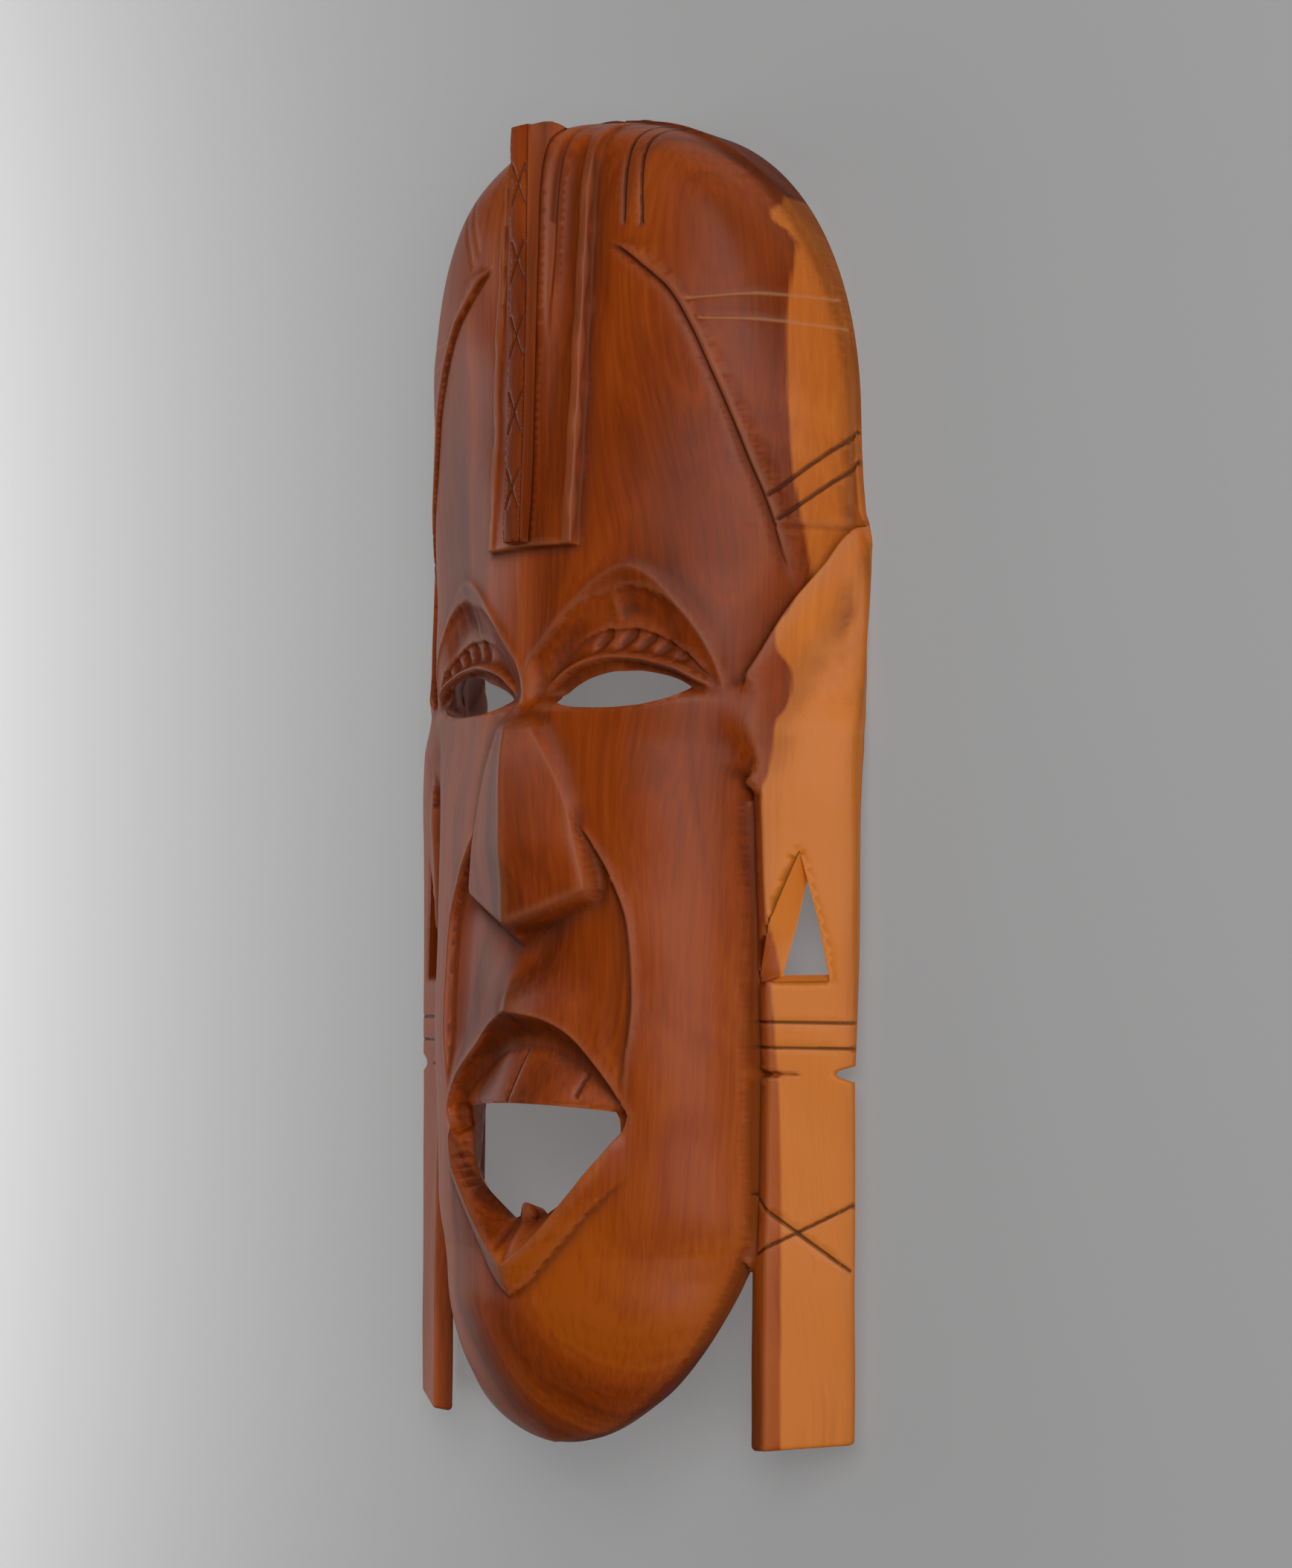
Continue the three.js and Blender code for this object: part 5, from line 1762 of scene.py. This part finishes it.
@dataclass(frozen=True)
class Relief:
    """Reads off the carved height where edges get a painted highlight, partly rubbed wear, and where hollows
    get painted shade.
    """

    cell: float = 0.7
    box: tuple[float, float, float, float] = (-113.0, 113.0, -190.0, 332.0)
    near: float = 1.3
    wide: float = 4.0
    edge_highlight_at: float = 0.22
    shaded_recess_at: float = 0.28
    low_at: float = 0.9

    def measure(self, points: np.ndarray, carving: MaskMesh) -> Marks:
        """Compare the height with its own blurred copies, and find the engraved lines.

        Args:
            points: Points as rows of x, y and z.
            carving: The carving, for its height over the plan and its lines.

        Returns:
            The three measures of each point.
        """
        x0, x1, y0, y1 = self.box
        gx, gy = np.meshgrid(np.arange(x0, x1, self.cell), np.arange(y0, y1, self.cell))
        grid = carving.height(gx.ravel(), gy.ravel()).reshape(gx.shape)
        steep = np.hypot(*np.gradient(blurred(grid, self.near / self.cell), self.cell))
        flat = 1.0 / np.sqrt(1.0 + steep**2)
        fine = (grid - blurred(grid, self.near / self.cell)) * flat
        broad = (grid - blurred(grid, self.wide / self.cell)) * flat
        # Sharp edges get a painted highlight, partly rubbed wear.
        worn_edge_highlight = np.clip(fine / self.edge_highlight_at, 0.0, 1.0)
        # Hollows and low ground get painted shade.
        shaded_recess = 0.65 * np.clip(-fine / self.shaded_recess_at, 0.0, 1.0) + 0.5 * np.clip(-broad / self.low_at, 0.0, 1.0)
        i = np.clip(np.round((points[:, 0] - x0) / self.cell).astype(int), 0, grid.shape[1] - 1)
        j = np.clip(np.round((points[:, 1] - y0) / self.cell).astype(int), 0, grid.shape[0] - 1)
        x, y, z = points.T
        front = z > carving.height(x, y) - 1.5
        comb = (np.abs(x) < carving.comb.half_width + 0.6) * (z > carving.comb.top(y) - 1.2)
        comb = comb * (y > carving.comb.bottom_y) * (y < carving.comb.foot_y)
        # Line tone: painted shade in dark cut lines, pale raw wood in pale ones.
        cut = np.where(comb, carving.comb.shade(x, y), carving.strokes.shade(x, y) * front)
        return Marks(worn_edge_highlight[j, i] * ~comb, np.clip(shaded_recess[j, i], 0.0, 1.0) * ~comb, cut)


class Nodes:
    """A short way to lay out shader nodes."""

    def __init__(self, name: str) -> None:
        """Make an empty node material.

        Args:
            name: The material's name.
        """
        self.material = bpy.data.materials.new(name)
        self.material.use_nodes = True
        self.tree = self.material.node_tree
        self.tree.nodes.clear()

    def add(self, kind: str, inputs: dict[str | int, object] | None = None,
            **settings: object) -> bpy.types.Node:
        """Add a node.

        Args:
            kind: Type name of the node.
            inputs: Values or sockets for its inputs, by name or number.
            settings: Its other settings.

        Returns:
            The new node.
        """
        node = self.tree.nodes.new(kind)
        for key, value in settings.items():
            setattr(node, key, value)
        for key, value in (inputs or {}).items():
            if isinstance(value, bpy.types.NodeSocket):
                self.tree.links.new(value, node.inputs[key])
            else:
                node.inputs[key].default_value = value
        return node

    def math(self, operation: str, a: object, b: object = 0.0, clamp: bool = False) -> bpy.types.NodeSocket:
        """Add a math node and give its result."""
        node = self.add("ShaderNodeMath", {0: a, 1: b}, operation=operation, use_clamp=clamp)
        return node.outputs[0]

    def vector(self, operation: str, a: object, b: object) -> bpy.types.NodeSocket:
        """Add a vector math node and give its result."""
        return self.add("ShaderNodeVectorMath", {0: a, 1: b}, operation=operation).outputs[0]

    def mix(self, factor: object, a: object, b: object) -> bpy.types.NodeSocket:
        """Mix two colours and give the result.

        Args:
            factor: Share of the second colour.
            a: First colour or its socket.
            b: Second colour or its socket.

        Returns:
            The colour's socket.
        """
        node = self.add("ShaderNodeMix", data_type="RGBA")
        for socket, value in ((node.inputs[0], factor), (node.inputs[6], a), (node.inputs[7], b)):
            if isinstance(value, bpy.types.NodeSocket):
                self.tree.links.new(value, socket)
            else:
                socket.default_value = value
        return node.outputs[2]

    def ramp(self, factor: bpy.types.NodeSocket,
             stops: Sequence[tuple[float, tuple]]) -> bpy.types.NodeSocket:
        """Turn a number into a colour.

        Args:
            factor: The number that is read.
            stops: Places and their colours.

        Returns:
            The colour's socket.
        """
        node = self.add("ShaderNodeValToRGB", {0: factor})
        elements = node.color_ramp.elements
        while len(elements) < len(stops):
            elements.new(0.5)
        for element, (at, colour) in zip(elements, stops):
            element.position = at
            element.color = (*colour, 1.0)
        return node.outputs[0]


@dataclass(frozen=True)
class CarvedWood:
    """Oiled red-brown heartwood with orange figure, and a paler strip of sapwood on the right."""

    dark: tuple[float, float, float] = (0.150, 0.022, 0.002)
    brown: tuple[float, float, float] = (0.270, 0.040, 0.002)
    rust: tuple[float, float, float] = (0.370, 0.058, 0.003)
    orange: tuple[float, float, float] = (0.490, 0.095, 0.004)
    sap_dark: tuple[float, float, float] = (0.590, 0.140, 0.012)
    sap_light: tuple[float, float, float] = (0.790, 0.230, 0.030)
    # Painted shade for hollows and for dark cut lines.
    painted_shade: tuple[float, float, float] = (0.035, 0.011, 0.005)
    # Painted highlight on sharp edges, partly rubbed wear.
    rubbed_highlight: tuple[float, float, float] = (0.50, 0.21, 0.11)
    scraped: tuple[float, float, float] = (0.62, 0.27, 0.12)
    roughness: float = 0.36
    shine: float = 0.16
    coat: float = 0.03
    coat_roughness: float = 0.22
    pith: tuple[float, float, float] = (-0.055, 0.0, -0.075)
    rings: float = 120.0
    ring_length: float = 2.2
    bend_scale: tuple[float, float, float] = (9.0, 4.0, 9.0)
    bend_reach: tuple[float, float, float] = (0.060, 0.0, 0.060)
    streak_scale: tuple[float, float, float] = (520.0, 16.0, 520.0)
    cloud_scale: tuple[float, float, float] = (16.0, 7.0, 16.0)
    edge_highlight_share: float = 0.2
    recess_shade_share: float = 0.5
    pale_share: float = 0.75
    cut_line_shade_share: float = 0.8
    sap_low: float = -0.262
    sap_high: float = 0.262
    sap_edge: tuple[tuple[float, float], ...] = (
        (-190, 90.0), (-97, 89.6), (-42, 87.8), (14, 85.4), (55, 84.6), (70, 86.6), (89, 88.7),
        (105, 92.0), (119, 88.5), (130, 92.0), (146, 94.1), (164, 93.7), (186, 91.4), (233, 90.4),
        (259, 89.5), (274, 85.2), (286, 80.0), (334, 80.0))
    sap_near: float = 80.0
    sap_span: float = 20.0

    def material(self) -> bpy.types.Material:
        """Build the wood.

        Returns:
            The node material.
        """
        n = Nodes("carved_wood")
        place = n.add("ShaderNodeTexCoord").outputs["Object"]
        bend = n.add("ShaderNodeTexNoise", {"Vector": n.vector("MULTIPLY", place, self.bend_scale),
                                            "Scale": 1.0, "Detail": 2.0,
                                            "Roughness": 0.5}).outputs["Color"]
        shift = n.vector("MULTIPLY", n.vector("SUBTRACT", bend, (0.5, 0.5, 0.5)), self.bend_reach)
        bent = n.vector("ADD", place, shift)
        flat = n.vector("MULTIPLY", n.vector("SUBTRACT", bent, self.pith), (1.0, 0.0, 1.0))
        radius = n.add("ShaderNodeVectorMath", {0: flat}, operation="LENGTH").outputs["Value"]
        along = n.add("ShaderNodeSeparateXYZ", {0: bent}).outputs[1]
        across = n.add("ShaderNodeCombineXYZ", {0: n.math("MULTIPLY", radius, self.rings),
                                                1: n.math("MULTIPLY", along, self.ring_length)}).outputs[0]
        figure = n.add("ShaderNodeTexNoise", {"Vector": across, "Scale": 1.0, "Detail": 4.0,
                                              "Roughness": 0.55}).outputs["Fac"]
        streak = n.add("ShaderNodeTexNoise", {"Vector": n.vector("MULTIPLY", bent, self.streak_scale),
                                              "Scale": 1.0, "Detail": 3.0, "Roughness": 0.6}).outputs["Fac"]
        cloud = n.add("ShaderNodeTexNoise", {"Vector": n.vector("MULTIPLY", place, self.cloud_scale),
                                             "Scale": 1.0, "Detail": 1.0}).outputs["Fac"]
        tone = n.math("ADD", figure, n.math("MULTIPLY", n.math("SUBTRACT", streak, 0.5), 0.35))
        tone = n.math("ADD", tone, n.math("MULTIPLY", n.math("SUBTRACT", cloud, 0.5), 0.55))
        heart = n.ramp(tone, ((0.24, self.dark), (0.42, self.brown), (0.56, self.rust), (0.74, self.orange)))
        sap = n.ramp(tone, ((0.30, self.sap_dark), (0.62, self.sap_light)))
        shaded_recess = n.add("ShaderNodeAttribute", attribute_name="shaded_recess").outputs["Fac"]
        worn_edge_highlight = n.add("ShaderNodeAttribute", attribute_name="worn_edge_highlight").outputs["Fac"]
        colour = n.mix(self._sapwood(n, place, streak), heart, sap)
        cut = n.add("ShaderNodeAttribute", attribute_name="cut").outputs["Fac"]
        pale = n.math("MULTIPLY", cut, -self.pale_share, clamp=True)
        dark = n.math("MULTIPLY", cut, self.cut_line_shade_share, clamp=True)
        # Painted highlight on sharp edges, partly rubbed wear.
        colour = n.mix(n.math("MULTIPLY", worn_edge_highlight, self.edge_highlight_share), colour, (*self.rubbed_highlight, 1.0))
        # Painted shade in hollows and low ground.
        colour = n.mix(n.math("MULTIPLY", shaded_recess, self.recess_shade_share), colour, (*self.painted_shade, 1.0))
        colour = n.mix(pale, colour, (*self.scraped, 1.0))
        # Painted shade in the dark cut lines.
        colour = n.mix(dark, colour, (*self.painted_shade, 1.0))
        rough = n.math("ADD", n.math("MULTIPLY", streak, 0.16), self.roughness - 0.08)
        rough = n.math("ADD", rough, n.math("MULTIPLY", shaded_recess, 0.25))
        bump = n.add("ShaderNodeBump", {"Strength": 0.16, "Distance": 0.0004, "Height": streak})
        shader = n.add("ShaderNodeBsdfPrincipled", {
            "Base Color": colour, "Roughness": rough, "Normal": bump.outputs[0],
            "Specular IOR Level": self.shine, "Coat Weight": self.coat,
            "Coat Roughness": self.coat_roughness})
        n.add("ShaderNodeOutputMaterial", {"Surface": shader.outputs[0]})
        return n.material

    def _sapwood(self, n: Nodes, place: bpy.types.NodeSocket,
                 streak: bpy.types.NodeSocket) -> bpy.types.NodeSocket:
        """Tell sapwood from heartwood, by a line that wanders along the right side.

        Args:
            n: The material's nodes.
            place: Coordinates in the frame.
            streak: Fine grain, which frays the line a little.

        Returns:
            0 in heartwood and 1 in sapwood.
        """
        parts = n.add("ShaderNodeSeparateXYZ", {0: place})
        reach = self.sap_high - self.sap_low
        along = n.math("DIVIDE", n.math("SUBTRACT", parts.outputs[1], self.sap_low), reach)
        curve = n.add("ShaderNodeFloatCurve", {"Value": along})
        points = curve.mapping.curves[0].points
        while len(points) < len(self.sap_edge):
            points.new(0.5, 0.5)
        for point, (y, x) in zip(points, self.sap_edge):
            at = ((y - HEAD.origin_y) * MILLIMETRE - self.sap_low) / reach
            point.location = (min(max(at, 0.0), 1.0), (x - self.sap_near) / self.sap_span)
            point.handle_type = "AUTO_CLAMPED"
        curve.mapping.update()
        edge = n.math("MULTIPLY", curve.outputs[0], self.sap_span * MILLIMETRE)
        edge = n.math("ADD", edge, self.sap_near * MILLIMETRE)
        gap = n.math("SUBTRACT", parts.outputs[0], edge)
        gap = n.math("ADD", gap, n.math("MULTIPLY", n.math("SUBTRACT", streak, 0.5), 0.0012))
        return n.math("ADD", n.math("DIVIDE", gap, 0.0011), 0.5, clamp=True)


@dataclass(frozen=True)
class PaleFloor:
    """A plain matt floor, faintly lit from below so that the openings stay light."""

    colour: tuple[float, float, float] = (0.30, 0.30, 0.30)
    glow: float = 0.155

    def material(self) -> bpy.types.Material:
        """Build the floor's material.

        Returns:
            The node material.
        """
        n = Nodes("pale_floor")
        shader = n.add("ShaderNodeBsdfPrincipled", {
            "Base Color": (*self.colour, 1.0), "Roughness": 0.9, "Specular IOR Level": 0.1,
            "Emission Color": (1.0, 1.0, 1.0, 1.0), "Emission Strength": self.glow})
        n.add("ShaderNodeOutputMaterial", {"Surface": shader.outputs[0]})
        return n.material


@dataclass
class Mask:
    """The carved mask as one finished piece."""

    finish: CarvedWood = field(default_factory=CarvedWood)

    def build(self) -> bpy.types.Object:
        """Make the mesh, dress it and set it in the frame.

        Returns:
            The mask.
        """
        carving = MaskMesh()
        vertices, faces = carving.build()
        marks = Relief().measure(vertices, carving)
        place = (vertices - [0.0, HEAD.origin_y, 0.0]) * MILLIMETRE
        mesh = bpy.data.meshes.new("mask_carving")
        mesh.from_pydata(place.tolist(), [], faces.tolist())
        # Edge mask: painted highlight, partly wear. Hollow mask: painted shade. Line tone: painted shade in
        # dark lines, pale raw wood in pale ones.
        for name, values in (("worn_edge_highlight", marks.worn_edge_highlight), ("shaded_recess", marks.shaded_recess), ("cut", marks.cut)):
            layer = mesh.attributes.new(name, "FLOAT", "POINT")
            layer.data.foreach_set("value", values.astype(np.float32))
        mesh.shade_smooth()
        mesh.materials.append(self.finish.material())
        piece = bpy.data.objects.new("mask_carving", mesh)
        bpy.context.scene.collection.objects.link(piece)
        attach(piece, "root")
        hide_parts("mask")
        return piece


@dataclass(frozen=True)
class Light:
    """One soft square light and the point that it faces."""

    name: str
    place: tuple[float, float, float]
    target: tuple[float, float, float]
    size: float
    power: float
    spread_degrees: float

    def build(self) -> bpy.types.Object:
        """Hang the light.

        Returns:
            The light.
        """
        data = bpy.data.lights.new(self.name, "AREA")
        data.shape = "SQUARE"
        data.size = self.size
        data.energy = self.power
        data.spread = math.radians(self.spread_degrees)
        lamp = bpy.data.objects.new(self.name, data)
        lamp.location = self.place
        lamp.rotation_euler = (Vector(self.target) - Vector(self.place)).to_track_quat("-Z", "Y").to_euler()
        bpy.context.scene.collection.objects.link(lamp)
        return lamp


@dataclass(frozen=True)
class Studio:
    """Floor, lights and camera round the mask."""

    view_degrees: float = 40.0
    focal_pixels: float = 4022.64
    distance: float = 1.192
    axis_row: float = 1291.0
    floor_reach: float = 6.0
    sky: float = 0.02
    lights: tuple[Light, ...] = (
        Light("floor_wash", (-1.05, 0.0, 0.75), (-1.05, 0.0, 0.0), 1.2, 15.0, 80.0),
        Light("ceiling", (1.0, 0.8, 1.6), (0.0, 0.0, 0.04), 1.2, 10.3, 160.0),
        Light("softbox", (1.6, 0.0, 1.2), (0.0, 0.0, 0.04), 1.3, 11.3, 160.0),
        Light("left_glow", (-1.7, 0.2, 0.6), (0.0, 0.0, 0.04), 1.0, 5.0, 160.0),
    )

    def build(self) -> None:
        """Set everything up."""
        self.camera()
        self.floor()
        for light in self.lights:
            light.build()
        world = bpy.data.worlds.new("studio")
        world.use_nodes = True
        world.node_tree.nodes["Background"].inputs[0].default_value = (1.0, 1.0, 1.0, 1.0)
        world.node_tree.nodes["Background"].inputs[1].default_value = self.sky
        bpy.context.scene.world = world
        bpy.context.scene.view_settings.view_transform = "Standard"

    def camera(self) -> bpy.types.Object:
        """Aim the camera down at the mask from its right, as the photograph does.

        Returns:
            The camera.
        """
        data = bpy.data.cameras.new("camera")
        data.sensor_fit = "VERTICAL"
        data.sensor_height = 36.0
        data.lens = self.focal_pixels / PHOTO_HEIGHT * data.sensor_height
        data.shift_y = (self.axis_row - PHOTO_HEIGHT / 2) / PHOTO_HEIGHT
        data.clip_end = 20.0
        turn = math.radians(self.view_degrees)
        forward = Vector((-math.sin(turn), 0.0, -math.cos(turn)))
        up = Vector((0.0, 1.0, 0.0))
        right = forward.cross(up)
        frame_axes = Matrix((right, up, -forward)).transposed().to_4x4()
        seat = -forward * self.distance - Vector((0.0, HEAD.origin_y * MILLIMETRE, 0.0))
        camera = bpy.data.objects.new("camera", data)
        camera.matrix_world = Matrix.Translation(seat) @ frame_axes
        bpy.context.scene.collection.objects.link(camera)
        bpy.context.scene.camera = camera
        return camera

    def floor(self) -> bpy.types.Object:
        """Lay the floor that the rim rests on.

        Returns:
            The floor.
        """
        reach = self.floor_reach
        mesh = bpy.data.meshes.new("floor")
        corners = [(-reach, -reach, 0.0), (reach, -reach, 0.0), (reach, reach, 0.0), (-reach, reach, 0.0)]
        mesh.from_pydata(corners, [], [(0, 1, 2, 3)])
        mesh.materials.append(PaleFloor().material())
        floor = bpy.data.objects.new("floor", mesh)
        bpy.context.scene.collection.objects.link(floor)
        return floor


def main() -> None:
    """Build the mask and its studio, and report each."""
    logging.basicConfig(level=logging.INFO, format="%(message)s")
    studio = Studio()
    studio.build()
    LOG.info("studio: floor, %d lights and camera", len(studio.lights))
    mask = Mask().build()
    LOG.info("%s: %d triangles", mask.name, len(mask.data.polygons))


if __name__ == "__main__":
    main()
